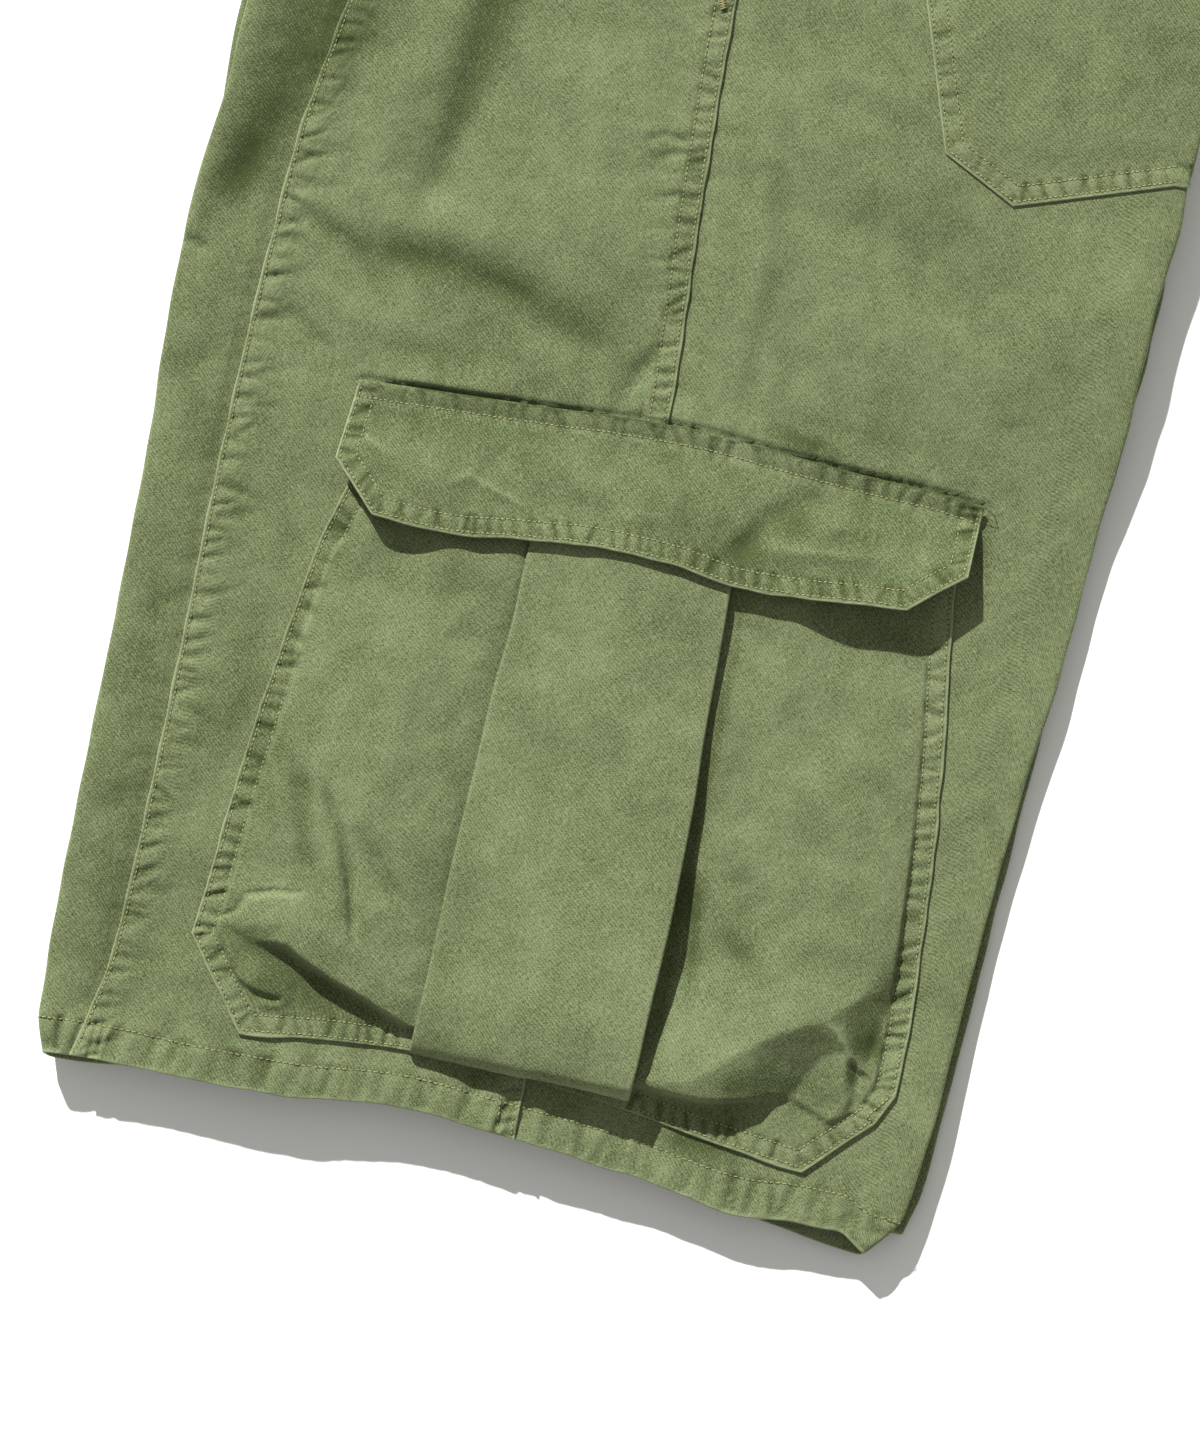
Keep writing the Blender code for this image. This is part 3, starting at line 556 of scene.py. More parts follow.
def rumple_along(run, size, seed):
    """The same unevenness along a line."""
    return rumple(run, 0 * run, size, seed)


def bell(value, middle, width, power=2):
    """1 in the middle and 0 away from it."""
    return np.exp(-((value - middle) / width) ** power)


def stacked(x, y, z):
    """Points from their three values."""
    return np.stack([x, y, z], -1)


def creases(run, across, gathers):
    """Narrow slanting dips along a seam: a little above 0 between them and down to about -1 in them."""
    luck = np.random.default_rng(gathers.seed)
    count = int(gathers.length / gathers.pitch) + 2
    steps = luck.uniform(1 - gathers.uneven, 1 + gathers.uneven, count)
    places = (np.cumsum(steps) - 1) * gathers.pitch
    depths = luck.uniform(0.35, 1.0, count)
    slants = luck.normal(0.2, 0.25, count)
    widths = luck.uniform(0.7, 1.5, count) * gathers.width
    total = np.full(np.broadcast(run, across).shape, 0.16)
    for place, depth, slant, wide in zip(places, depths, slants, widths):
        gap = (run + slant * across - place) / wide
        total -= depth * np.exp(-gap * gap)
    return np.maximum(total, -1.0)


def folded(x, y, folds):
    """Sum of soft folds at some points. A fold that starts where the one before it ends carries it on;
    free ends fade out."""
    height = np.zeros(np.broadcast(x, y).shape)
    chain = np.zeros_like(height)
    before = None
    for fold, after in zip(folds, folds[1:] + [None]):
        if before and (before.x2, before.y2) != (fold.x1, fold.y1):
            before = None
        if after and (after.x1, after.y1) != (fold.x2, fold.y2):
            after = None
        first, last = ((other.height + fold.height) / 2 if other else 0.3 * fold.height
                       for other in (before, after))
        dx = fold.x2 - fold.x1
        dy = fold.y2 - fold.y1
        share = np.clip(((x - fold.x1) * dx + (y - fold.y1) * dy) / (dx * dx + dy * dy), 0, 1)
        distance = np.hypot(x - fold.x1 - share * dx, y - fold.y1 - share * dy)
        rise = np.interp(share, (0, 0.3, 0.7, 1), (first, fold.height, fold.height, last))
        rise = rise * np.exp(-(distance / fold.width) ** 2)
        if before:
            chain = np.where(np.abs(rise) > np.abs(chain), rise, chain)
        else:
            height += chain
            chain = rise
        before = fold
    return height + chain


def nearest(x, y, line):
    """Distance to a line of corners, and how far along it the nearest place is."""
    best = np.full(np.broadcast(x, y).shape, 1e9)
    run = np.zeros_like(best)
    start = 0.0
    for (x1, y1), (x2, y2) in zip(line, line[1:]):
        dx = x2 - x1
        dy = y2 - y1
        length = math.hypot(dx, dy)
        if not length:
            continue
        share = np.clip(((x - x1) * dx + (y - y1) * dy) / length ** 2, 0, 1)
        distance = np.hypot(x - x1 - share * dx, y - y1 - share * dy)
        closer = distance < best
        best = np.where(closer, distance, best)
        run = np.where(closer, start + share * length, run)
        start += length
    return best, run


def inset(line, distance):
    """The same line moved sideways to its left, with its corners kept."""
    points = [Vector(point) for point in line]
    moved = []
    for i, point in enumerate(points):
        before = (point - points[i - 1]).normalized() if i else None
        after = (points[i + 1] - point).normalized() if i + 1 < len(points) else None
        before = before or after
        after = after or before
        left = Vector((-before.y - after.y, before.x + after.x)).normalized()
        spread = max(left.dot(Vector((-before.y, before.x))), 0.4)
        moved.append(point + left * distance / spread)
    return [(point.x, point.y) for point in moved]


def run_along(line):
    """Distance along a line of points, at each of them."""
    return np.concatenate([[0], np.cumsum(np.linalg.norm(np.diff(line, axis=0), axis=1))])


def resample(line, step):
    """Points along a line of corners at an even step."""
    line = np.asarray(line, float)
    run = run_along(line)
    at = np.linspace(0, run[-1], max(int(run[-1] / step), 2) + 1)
    return np.stack([np.interp(at, run, line[:, k]) for k in range(line.shape[1])], 1)


def blur(grid, times):
    """Grid of heights softened by repeated averaging with its neighbours."""
    for _ in range(times):
        for axis in (0, 1):
            padded = np.pad(grid, [(1, 1) if axis == k else (0, 0) for k in (0, 1)], mode="edge")
            before = np.take(padded, range(0, grid.shape[axis]), axis)
            after = np.take(padded, range(2, grid.shape[axis] + 2), axis)
            grid = 0.5 * grid + 0.25 * (before + after)
    return grid


def draped_between(x, y, lines):
    """Height at x and y of flat facets stretched between some lines of (x, y, height) points."""
    tiny = 1e-6
    points = [point for line in lines for point in line]
    joins = []
    start = 0
    for line in lines:
        joins += [(start + i, start + i + 1) for i in range(len(line) - 1)]
        start += len(line)
    corners = [Vector(point[:2]) for point in points]
    places, _, triangles, sources, *_ = delaunay_2d_cdt(corners, joins, [], 0, tiny)
    height = np.full(x.shape, np.nan)
    for triangle in triangles:
        (ax, ay), (bx, by), (cx, cy) = (places[k] for k in triangle)
        low, mid, high = (points[sources[k][0]][2] for k in triangle)
        area = (bx - ax) * (cy - ay) - (cx - ax) * (by - ay)
        if abs(area) < tiny:
            continue
        second = ((x - ax) * (cy - ay) - (cx - ax) * (y - ay)) / area
        third = ((bx - ax) * (y - ay) - (x - ax) * (by - ay)) / area
        first = 1 - second - third
        inside = (first >= -tiny) & (second >= -tiny) & (third >= -tiny)
        height = np.where(inside, first * low + second * mid + third * high, height)
    return np.where(np.isnan(height), RIM_RISE, height)


# ----------------------------------------
# Outlines that several pieces share

def pocket_outline():
    """Sewn edge of the cargo pocket: down the left, along the bottom and up the right."""
    left = [(side.left, side.y) for side in POCKET_SIDES if side.y > 49]
    right = [(side.right, side.y) for side in POCKET_SIDES if side.y > 31]
    return left + [tuple(point) for point in POCKET_BOTTOM + [Point(125.9, 31.1)]] + right[::-1]


def flap_foot(x):
    """Lower edge of the flap: smooth in the middle, straight at its cut-off corners."""
    middle = through(FLAP[1:-1], "x", "bottom", x)
    return np.where((x < FLAP[1].x) | (x > FLAP[-2].x), straight(FLAP, "x", "bottom", x), middle)


def flap_outline():
    """Free edge of the flap: down the left end, along the bottom and up the right end."""
    places = np.linspace(FLAP[1].x, FLAP[-2].x, 60)
    first = FLAP[0]
    last = FLAP[-1]
    return [(first.x + FLAP_LEAN, first.top), (first.x + 0.3, first.bottom + 6), (first.x, first.bottom),
            *zip(places, flap_foot(places)), (last.x - 0.6, last.bottom), (last.x + 0.5, last.top)]


def flap_seam():
    """Sewn upper edge of the flap."""
    places = np.linspace(FLAP[0].x + FLAP_LEAN, FLAP[-1].x + 0.5, 60)
    return list(zip(places, flap_line("top", places)))


POCKET_EDGE = pocket_outline()
FLAP_EDGE = flap_outline()
FLAP_SEAM = flap_seam()


# ----------------------------------------
# The leg's surface

def waist_shift(x, y):
    """How far the slope of the waist moves a point up the leg."""
    share = np.clip((y - SLOPE_START) / (WAIST_SEAM - SLOPE_START), 0, 1)
    return WAIST_SLOPE * x * share


def hem_shift(layer, x, y):
    """How far the hem's line moves a point up or down the leg."""
    fade = np.clip(1 - y / HEM_FADE, 0, 1)
    return through(HEM, "x", layer, x) * fade + 0.35 * rumple_along(x, 13, 17) * np.clip(1 - y / 10, 0, 1)


def flat_end(leg, edge, y):
    """Place across the leg where its flat face ends and the rounding of a crease starts."""
    column = edge if leg == "near" else "far_" + edge
    seed = {"front": 41, "back": 43}[edge] + (leg == "far")
    return leg_line(column, y) + 0.35 * rumple_along(y, 17, seed) + INWARDS[edge] * FOLD_REACH


def leg_top(x, y):
    """Height of the near leg's cloth without its seams, at real places."""
    z = leg_line("top", y) + folded(x, y, LEG_FOLDS)
    z = z + ROLL * (1 - smooth(-172, -122, x)) * smooth(305, 350, y) * (1 - smooth(520, 600, y))
    front = 1 - smooth(-20, 20, x)
    z = z + (0.50 + 0.25 * front) * rumple(x, y, 60, 3) + (0.24 + 0.14 * front) * rumple(x, y, 25, 5)
    z = z + 0.075 * rumple(x, y * 0.8, 11, 8) + 0.022 * rumple(x, y, 5, 9)
    seam, run = nearest(x, y, FLAP_SEAM)
    above = seam * np.sign(y - flap_line("top", x))
    ends = zone_between(x, -118, -108, 118, 126)
    bulge = 2.5 * through(SEAM_PUFF, "x", "swell", x) * smooth(0.2, 1.9, above) * (1 - smooth(2, 15, above))
    bulge = bulge * (1 + 0.45 * rumple_along(run, 17, 34))
    gathered = 1.2 * creases(run, above, ABOVE_FLAP) * zone_between(above, 0, 1.5, 4, 12)
    return z + ends * (bulge + gathered - 0.6 * bell(above, 0.6, 1.0))


def band(distance, width, thickness):
    """Extra height of the layers inside a seam, up to a distance from its edge."""
    return thickness * (1 - smooth(width - 1, width + 7, distance))


def groove(distance, place):
    """Dent that a row of stitches pulls into the cloth."""
    return -0.22 * bell(distance, place, 0.8)


def strength():
    """Strength of the gathers that the user has chosen."""
    return bpy.context.scene.shorts_cloth.pucker


def rim_relief(distance, run, rim):
    """Height, and rubbing, of a double-stitched edge at a distance from it. The gathers' dips are darker, for
    deeper dye and painted shade.
    """
    dips = creases(run, distance, Gathers(rim.seed, rim.pitch, 1.1, uneven=0.35))
    zone = zone_between(distance, 0.3, 1.6, rim.inner - 0.6, rim.inner + 2.2)
    height = strength() * rim.depth * dips * zone + groove(distance, EDGE_ROW) + groove(distance, rim.inner)
    # Gather dips painted darker, for deeper dye and painted shade; the ridges between them and the edge a
    # little paler
    return height, (0.15 + 1.5 * dips) * zone + 1.3 * bell(distance, 0, 0.7, 4)


def hem_relief(x, y):
    """Turned hem: double cloth, a row of stitches, and slanting gathers, whose dips are darker for deeper dye
    and painted shade.
    """
    dips = creases(x + BEFORE_LEG, -0.5 * y, HEM_GATHERS)
    soft = creases(x + BEFORE_LEG, -0.9 * y, ABOVE_HEM) * bell(y, HEM_DEPTH + 1, 6)
    inside = zone_between(y, -0.5, 2, HEM_DEPTH - 1, HEM_DEPTH + 2.5)
    height = band(y, HEM_DEPTH, 0.4) + strength() * (1.5 * dips * inside + 0.9 * soft)
    return height + groove(y, HEM_DEPTH), (0.05 + 0.9 * dips) * inside + 0.3 * soft


def front_relief(x, y):
    """Height, and rubbing with painted shade in the gathers' dips, of the outer front: its lapped seam, side
    seam and hem.
    """
    lap = x - leg_line("lap", y)
    side = leg_line("side", y) - x
    hem, rubbed = hem_relief(x, y)
    ripple = creases(y + BELOW_HEM, -lap, LAP_GATHERS)
    broad = creases(y + BELOW_HEM, -lap, BEHIND_LAP)
    lap_zone = zone_between(lap, 0.8, 2.2, 5, 12)
    broad_zone = zone_between(lap, 2, 5, 8, 24)
    relief, wear_and_shading = rim_relief(side, y + BELOW_HEM, SIDE_RIM)
    soft_zone = zone_between(side, INNER_ROW, 10, 12, 26)
    height = band(lap, 8.5, 0.45) + groove(lap, EDGE_ROW) + band(side, 8.6, 0.6) + relief
    height = height + strength() * (1.2 * ripple * lap_zone + 0.9 * broad * broad_zone
                                    + 0.4 * creases(y + BELOW_HEM, side, BEFORE_SIDE) * soft_zone)
    wear_and_shading = wear_and_shading + (0.15 + 1.2 * ripple) * lap_zone + 0.6 * broad * broad_zone + 1.3 * bell(lap, 0, 0.7, 4)
    return height + hem, wear_and_shading + rubbed


def inner_relief(x, y):
    """Height, and rubbing with painted shade in the gathers' dips, of the inner front, beside the lapped
    seam.
    """
    lap = leg_line("lap", y) - x
    hem, rubbed = hem_relief(x, y)
    soft = creases(y + BELOW_HEM, lap, BEFORE_LAP) * (1 - smooth(2, 16, lap))
    return hem + strength() * 0.25 * soft - 1.0 * (1 - smooth(0, 6, lap)), rubbed + 0.25 * soft


def back_relief(x, y):
    """Height, and rubbing with painted shade in the gathers' dips, of the back, beside the side seam."""
    side = x - leg_line("side", y)
    hem, rubbed = hem_relief(x, y)
    soft = creases(y + BELOW_HEM, side, BEHIND_SIDE) * (1 - smooth(2, 18, side))
    return hem + strength() * 0.35 * soft - 0.8 * (1 - smooth(1, 8, side)), rubbed + 0.2 * soft


RELIEFS = {"front_side": front_relief, "front_inner": inner_relief, "back": back_relief}


def near_top(panel, x, y):
    """Points, and rubbing with painted shade and highlight, of the near leg's upper face, for nominal heights
    y.
    """
    x, y = np.broadcast_arrays(x, y)
    real = y + hem_shift("upper", x, y) + waist_shift(x, y)
    relief, wear_and_shading = RELIEFS[panel](x, y)
    return stacked(x, real, leg_top(x, real) + relief), wear_and_shading + folded(x, real, LEG_PAINTED_SHADING)


def turn_round(leg, edge, turn, y, outer, drop):
    """Points on the rounding of a crease: turn runs from 0 on the outer face to pi inside."""
    inner = INNER_FACE[leg]
    half = (outer - inner) / 2
    thick = np.abs(half)
    x = flat_end(leg, edge, y) - INWARDS[edge] * (FOLD_REACH - drop) * np.sin(turn) ** FOLD_BEND
    cosine = np.cos(turn)
    z = (outer + inner) / 2 + np.sign(cosine) * np.abs(cosine) ** FOLD_BEND * half * (thick - drop) / thick
    share = turn / math.pi
    shift = hem_shift("far", x, y)
    if leg == "near":
        shift = hem_shift("upper", x, y) * (1 - share) + hem_shift("lower", x, y) * share
    return stacked(x, y + shift + waist_shift(x, y), z)


def flat_layer(leg, x, y, outer, drop):
    """Points on a flat face of a leg; drop goes into the hollow."""
    face = FAR_OUT if outer else INNER_FACE[leg]
    into = 1 if outer or leg == "near" else -1
    z = face + into * drop + 0.12 * rumple(x, y, 30, 47) * (not outer)
    return stacked(x, y + hem_shift("far" if leg == "far" else "lower", x, y) + waist_shift(x, y), z)


def pressed(points):
    """Points of cloth after its own weight has flattened the legs towards the lower back edge."""
    x, y, z = points.T
    lowered = BACK_DROP * smooth(-80, 158, x) * (1 - smooth(235, 335, y)) * (0.55 + 0.45 * smooth(0, 110, y))
    still = FAR_OUT + 0.5
    share = np.clip((z - still) / (LEG_FACE - still), 0, 1)
    return stacked(x, y, z - lowered * share)


# ----------------------------------------
# Meshes

def mesh_piece(name, points, faces):
    """Smooth object with its points pressed down and in their place in the frame."""
    mesh = bpy.data.meshes.new(name)
    mesh.from_pydata(((pressed(points) + np.array(FOOT)) * MM).tolist(), [], faces)
    mesh.polygons.foreach_set("use_smooth", np.ones(len(mesh.polygons), bool))
    piece = bpy.data.objects.new(name, mesh)
    bpy.context.scene.collection.objects.link(piece)
    return piece


def note(piece, name, values):
    """Store a value on each point of a piece, for its material."""
    stored = piece.data.attributes.new(name, "FLOAT", "POINT")
    stored.data.foreach_set("value", values.reshape(-1).astype(np.float32))


def cloth_piece(name, points, wear_and_shading):
    """Mesh of a grid of points, with its place along the weave, and its rubbing and painted shading, on each
    point.
    """
    rows, columns = points.shape[:2]
    order = np.arange(rows * columns).reshape(rows, columns)
    quads = np.stack([order[:-1, :-1], order[:-1, 1:], order[1:, 1:], order[1:, :-1]], -1).reshape(-1, 4)
    across = np.linalg.norm(np.diff(points, axis=1), axis=2)
    along = np.linalg.norm(np.diff(points, axis=0), axis=2)
    middle = columns // 2
    u = np.concatenate([np.zeros((rows, 1)), np.cumsum(across, 1)], 1)
    u = u - u[:, middle:middle + 1] + points[:, middle:middle + 1, 0]
    v = np.concatenate([np.zeros((1, columns)), np.cumsum(along, 0)], 0) + points[:1, :, 1]
    piece = mesh_piece(name, points.reshape(-1, 3), quads.tolist())
    weave = piece.data.attributes.new("weave", "FLOAT_VECTOR", "POINT")
    weave.data.foreach_set("vector", (stacked(u, v, np.zeros_like(u)).reshape(-1) * MM).astype(np.float32))
    # Rubbing together with painted shade and painted highlight, for the material
    note(piece, "rubbed", np.asarray(wear_and_shading))
    piece.data.materials.append(material("washed_twill", paint_twill))
    return piece


def lay(node, points, wear_and_shading, slot, flat, area, rests_on=(), thickness=0):
    """Make a sheet of cloth and fit it into the frame in place of its solid."""
    piece = cloth_piece(node + "_cloth", points, wear_and_shading)
    if thickness:
        thicken(piece, thickness)
    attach(piece, "root")
    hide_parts(node)
    width, length = flat
    width * MM
    length * MM
    area * MM * MM


def lay_panel(node, columns, y, width, area, rests_on=()):
    """Make a panel of a leg from its columns, with painted shading, and with its hem's folded edge abraded
    pale.
    """
    points, wears_and_shading = (np.stack(part, 1) for part in zip(*columns))
    wears_and_shading += (1.4 * bell(y, 0.2, 0.8) * (np.arange(len(y)) > 3))[:, None]
    lay(node, points, wears_and_shading, "leg_twill", (width, LEG_LENGTH), area, rests_on)


def thicken(piece, thickness):
    """Give a sheet its thickness, on the side away from its face."""
    layers = piece.modifiers.new("layers", "SOLIDIFY")
    layers.thickness = thickness * MM
    layers.offset = -1
    mesh = bpy.data.meshes.new_from_object(piece.evaluated_get(bpy.context.evaluated_depsgraph_get()))
    piece.modifiers.clear()
    piece.data = mesh


def fill_between(first, last, spacing):
    """Shares of the way between two places, at about the spacing."""
    return np.linspace(0, 1, max(int(round(abs(last - first) / spacing)), 1) + 1)


def edge_rows(*spans):
    """Rows without a drop, over spans of a first place, a last place and a step."""
    return [Turned(at, 0) for span in spans for at in np.arange(*span)]


# ----------------------------------------
# Materials

def connect(tree, value, slot):
    """Link a strand to a socket, or set the socket's value."""
    if isinstance(value, Strand):
        tree.links.new(value.socket, slot)
    else:
        slot.default_value = value


class Strand:
    """A shader socket that can be used in sums."""

    def __init__(self, tree, socket):
        self.tree = tree
        self.socket = socket

    def _sum(self, operation, first, second):
        node = self.tree.nodes.new("ShaderNodeMath")
        node.operation = operation
        for slot, value in zip(node.inputs, (first, second)):
            connect(self.tree, value, slot)
        return Strand(self.tree, node.outputs[0])

    def __add__(self, other):
        return self._sum("ADD", self, other)

    def __radd__(self, other):
        return self._sum("ADD", other, self)

    def __sub__(self, other):
        return self._sum("SUBTRACT", self, other)

    def __mul__(self, other):
        return self._sum("MULTIPLY", self, other)

    def __rmul__(self, other):
        return self._sum("MULTIPLY", other, self)


class Finish:
    """A material and the nodes that make it."""

    def __init__(self, name):
        self.material = bpy.data.materials.new(name)
        self.material.use_nodes = True
        self.tree = self.material.node_tree
        self.shader = self.tree.nodes["Principled BSDF"]

    def node(self, kind, settings=(), output=0, **sockets):
        """Add a node: settings first, then values or links for sockets, named with _ for a space."""
        made = self.tree.nodes.new(kind)
        for key, value in dict(settings).items():
            setattr(made, key, value)
        for key, value in sockets.items():
            name = key.replace("_", " ")
            connect(self.tree, value, made.inputs[int(name[5:]) if name.startswith("slot ") else name])
        return Strand(self.tree, made.outputs[output])

    def mix(self, share, first, second):
        """Mix two colours."""
        return self.node("ShaderNodeMix", {"data_type": "RGBA"}, output=2, slot_0=share, slot_6=first,
                         slot_7=second)

    def feed(self, **sockets):
        """Link strands to the shader's sockets, or set their values."""
        for key, value in sockets.items():
            connect(self.tree, value, self.shader.inputs[key.replace("_", " ")])


def material(name, paint):
    """The material of that name, painted when it is first asked for."""
    if name not in bpy.data.materials:
        paint(Finish(name), bpy.context.scene.shorts_cloth)
    return bpy.data.materials[name]


def paint_twill(finish, settings):
    """Washed cotton twill: slubs, twill lines, faded patches, abraded edges, and painted shade and highlight
    along folds, gathers and edges.
    """
    lay = finish.node("ShaderNodeAttribute", {"attribute_name": "weave"}, output=1)
    rubbed = finish.node("ShaderNodeAttribute", {"attribute_name": "rubbed"}, output=2)

    def scaled(x, y):
        return finish.node("ShaderNodeVectorMath", {"operation": "MULTIPLY"}, slot_0=lay, slot_1=(x, y, 1))

    def clouds(place, scale, detail, rough=0.5):
        return finish.node("ShaderNodeTexNoise", {"noise_dimensions": "2D"}, Vector=place, Scale=scale,
                           Detail=detail, Roughness=rough)

    yarns = 2700
    drawn_out = 0.24
    broad = clouds(lay, 22, 3)
    patch = clouds(lay, 95, 3, 0.6)
    weft = clouds(scaled(drawn_out, 1.0), yarns, 1, 0.6)
    warp = clouds(scaled(1.0, drawn_out), yarns, 1, 0.6)
    grain = clouds(lay, 3000, 1, 0.6)
    lines = finish.node("ShaderNodeTexWave", {"wave_type": "BANDS", "bands_direction": "DIAGONAL"},
                        Vector=lay, Scale=2 * math.pi / (20 * settings.weave), Distortion=2.2,
                        Detail=2, Detail_Scale=1.5)
    tone = 0.52 + 0.46 * (broad - 0.5) + 0.42 * (patch - 0.5) + 1.15 * (weft - 0.5)
    tone = tone + 0.9 * (warp - 0.5) + 1.0 * (grain - 0.5) + 0.3 * (lines - 0.5)
    # Rubbing and painted shading shift the tone: painted shade below 0, paler above
    tone = finish.node("ShaderNodeClamp", Value=tone + 0.36 * rubbed)
    pale = tuple(2 * middle - deep_dye_and_shade for middle, deep_dye_and_shade in zip(settings.twill, settings.deep_dye_and_shade))
    body = finish.mix(tone, (*settings.deep_dye_and_shade, 1), (*pale, 1))
    # Abraded edges, and painted highlights along the pocket's ridges, take the pale colour
    edge = finish.node("ShaderNodeMapRange", {"interpolation_type": "SMOOTHSTEP"}, Value=rubbed,
                       From_Min=0.55, From_Max=1.6)
    colour = finish.mix(edge * (0.35 + 0.9 * patch), body, (*settings.worn_and_highlight, 1))
    height = 0.3 * lines + 0.6 * grain + 0.35 * weft + 0.35 * warp
    bump = finish.node("ShaderNodeBump", Strength=0.55, Distance=0.00022, Height=height)
    crumple = clouds(lay, 130, 3, 0.55)
    bump = finish.node("ShaderNodeBump", Strength=0.5, Distance=0.0009, Height=crumple, Normal=bump)
    finish.feed(Base_Color=colour, Roughness=0.88, Specular_IOR_Level=0.12, Sheen_Weight=0.07,
                Sheen_Roughness=0.5, Sheen_Tint=(0.75, 0.82, 0.6, 1), Normal=bump)


def paint_thread(finish, settings):
    """Cotton thread, a little uneven from stitch to stitch."""
    tone = finish.node("ShaderNodeAttribute", {"attribute_name": "tone"}, output=2)
    dark = tuple(0.62 * part for part in settings.thread)
    colour = finish.mix(tone, (*dark, 1), (*settings.thread, 1))
    finish.feed(Base_Color=colour, Roughness=0.7, Sheen_Weight=0.2)


def paint_hole(finish, settings):
    """Shaded cloth inside a needle hole."""
    finish.feed(Base_Color=(*(0.6 * part for part in settings.deep_dye_and_shade), 1), Roughness=0.95)


# ----------------------------------------
# Stitches

THREAD = 0
HOLE = 1


def unit(vectors):
    """The same vectors, one long."""
    return vectors / np.linalg.norm(vectors, axis=1, keepdims=True)


def tube_faces(rings, corners):
    """Faces between rings of corners."""
    start = np.arange(rings - 1)[:, None] * corners
    corner = np.arange(corners)
    here = start + corner
    beside = start + (corner + 1) % corners
    return np.stack([here, beside, beside + corners, here + corners], -1).reshape(-1, 4)


class Needle:
    """Collects rows of stitches for one mesh."""

    def __init__(self, seed):
        self.luck = np.random.default_rng(seed)
        self.places = []
        self.faces = []
        self.tones = []
        self.kinds = []
        self.count = 0

    def keep(self, places, faces, tones, kind):
        """Keep some points, their faces, and the tone of each point."""
        self.faces += (faces + self.count).tolist()
        self.places.append(places)
        self.tones.append(tones)
        self.kinds += [kind] * len(faces)
        self.count += len(places)

    def add(self, shape, centres, along, up, sizes, tones, kind):
        """Put copies of a small shape at centres, along and up."""
        template, faces = shape
        along = unit(along)
        side = unit(np.cross(up, along))
        up = np.cross(along, side)
        local = template[None] * sizes[:, None, :]
        made = (centres[:, None] + local[..., :1] * along[:, None] + local[..., 1:2] * side[:, None]
                + local[..., 2:] * up[:, None])
        starts = np.arange(len(centres))[:, None, None] * len(template)
        self.keep(made.reshape(-1, 3), (faces[None] + starts).reshape(-1, faces.shape[1]),
                  np.repeat(tones, len(template)), kind)

    def row(self, line, up=UP, length=1.0):
        """Sew along a line of points that lie on the cloth, with stitches of a relative length."""
        settings = bpy.context.scene.shorts_cloth
        width = settings.thread_width / MM
        run = run_along(line)
        count = int(run[-1] / (settings.pitch / MM * length))
        if count < 1:
            return
        ups = np.broadcast_to(np.asarray(up, float), line.shape)

        def at(places, values):
            return np.stack([np.interp(places, run, values[:, k]) for k in range(3)], 1)

        middle = (np.arange(count) + 0.5) * run[-1] / count
        length = run[-1] / count
        before = at(middle - 0.36 * length, line)
        after = at(middle + 0.36 * length, line)
        lift = at(middle, ups)
        wobble = self.luck.normal(0, 0.05, (count, 1)) * np.cross(lift, after - before)
        sizes = np.stack([0.80 * length * self.luck.uniform(0.93, 1.05, count),
                          width * self.luck.uniform(0.9, 1.1, count), np.full(count, 0.62 * width)], 1)
        self.add(STITCH, (before + after) / 2 + 0.06 * lift + wobble, after - before + 2 * wobble, lift,
                 sizes, self.luck.uniform(0.25, 1, count), THREAD)
        # Dark dots at the needle holes between stitches: painted shade
        ends = np.arange(count + 1) * length
        rise = at(ends, ups)
        self.add(DOT, at(ends, line) + 0.07 * rise, at(ends + 0.2, line) - at(ends - 0.2, line), rise,
                 np.tile([0.62, 0.6, 1.0], (count + 1, 1)), np.zeros(count + 1), HOLE)

    def pair(self, x, y, z, far_z=0):
        """Sew a row on the near leg, and the same row on the under side of the far leg."""
        self.row(stacked(x, y, z))
        self.row(stacked(x, y, far_z + 0 * x), DOWN)

    def bartack(self, centre, along, length, width):
        """A short bar of close zigzag stitches."""
        along = np.asarray(along, float) / np.linalg.norm(along)
        count = int(length / 0.42)
        places = centre + np.linspace(-length / 2, length / 2, count)[:, None] * along
        slant = np.cross(UP, along) + 0.25 * np.where(np.arange(count) % 2, 1, -1)[:, None] * along
        self.add(STITCH, places + 0.3 * np.array(UP), slant, np.tile(np.array(UP, float), (count, 1)),
                 np.tile([width, 0.5, 0.45], (count, 1)), self.luck.uniform(0.2, 0.9, count), THREAD)

    def strand(self, line, radius):
        """A loose end of thread along a line of points."""
        line = resample(line, 0.5)
        along = unit(np.gradient(line, axis=0))
        side = unit(np.cross(UP, along))
        up = np.cross(along, side)
        turns = np.linspace(0, 2 * math.pi, 6, endpoint=False)[:, None, None]
        rings = line + radius * (np.cos(turns) * side + np.sin(turns) * up)
        self.keep(rings.transpose(1, 0, 2).reshape(-1, 3), tube_faces(len(line), 6),
                  np.zeros(6 * len(line)), HOLE)

    def finish(self, name, slot):
        """Make the mesh of all that was sewn."""
        piece = mesh_piece(name, np.concatenate(self.places), self.faces)
        note(piece, "tone", np.concatenate(self.tones))
        piece.data.materials.append(material("cotton_thread", paint_thread))
        piece.data.materials.append(material("needle_hole", paint_hole))
        piece.data.polygons.foreach_set("material_index", np.asarray(self.kinds, np.int32))
        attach(piece, "root")


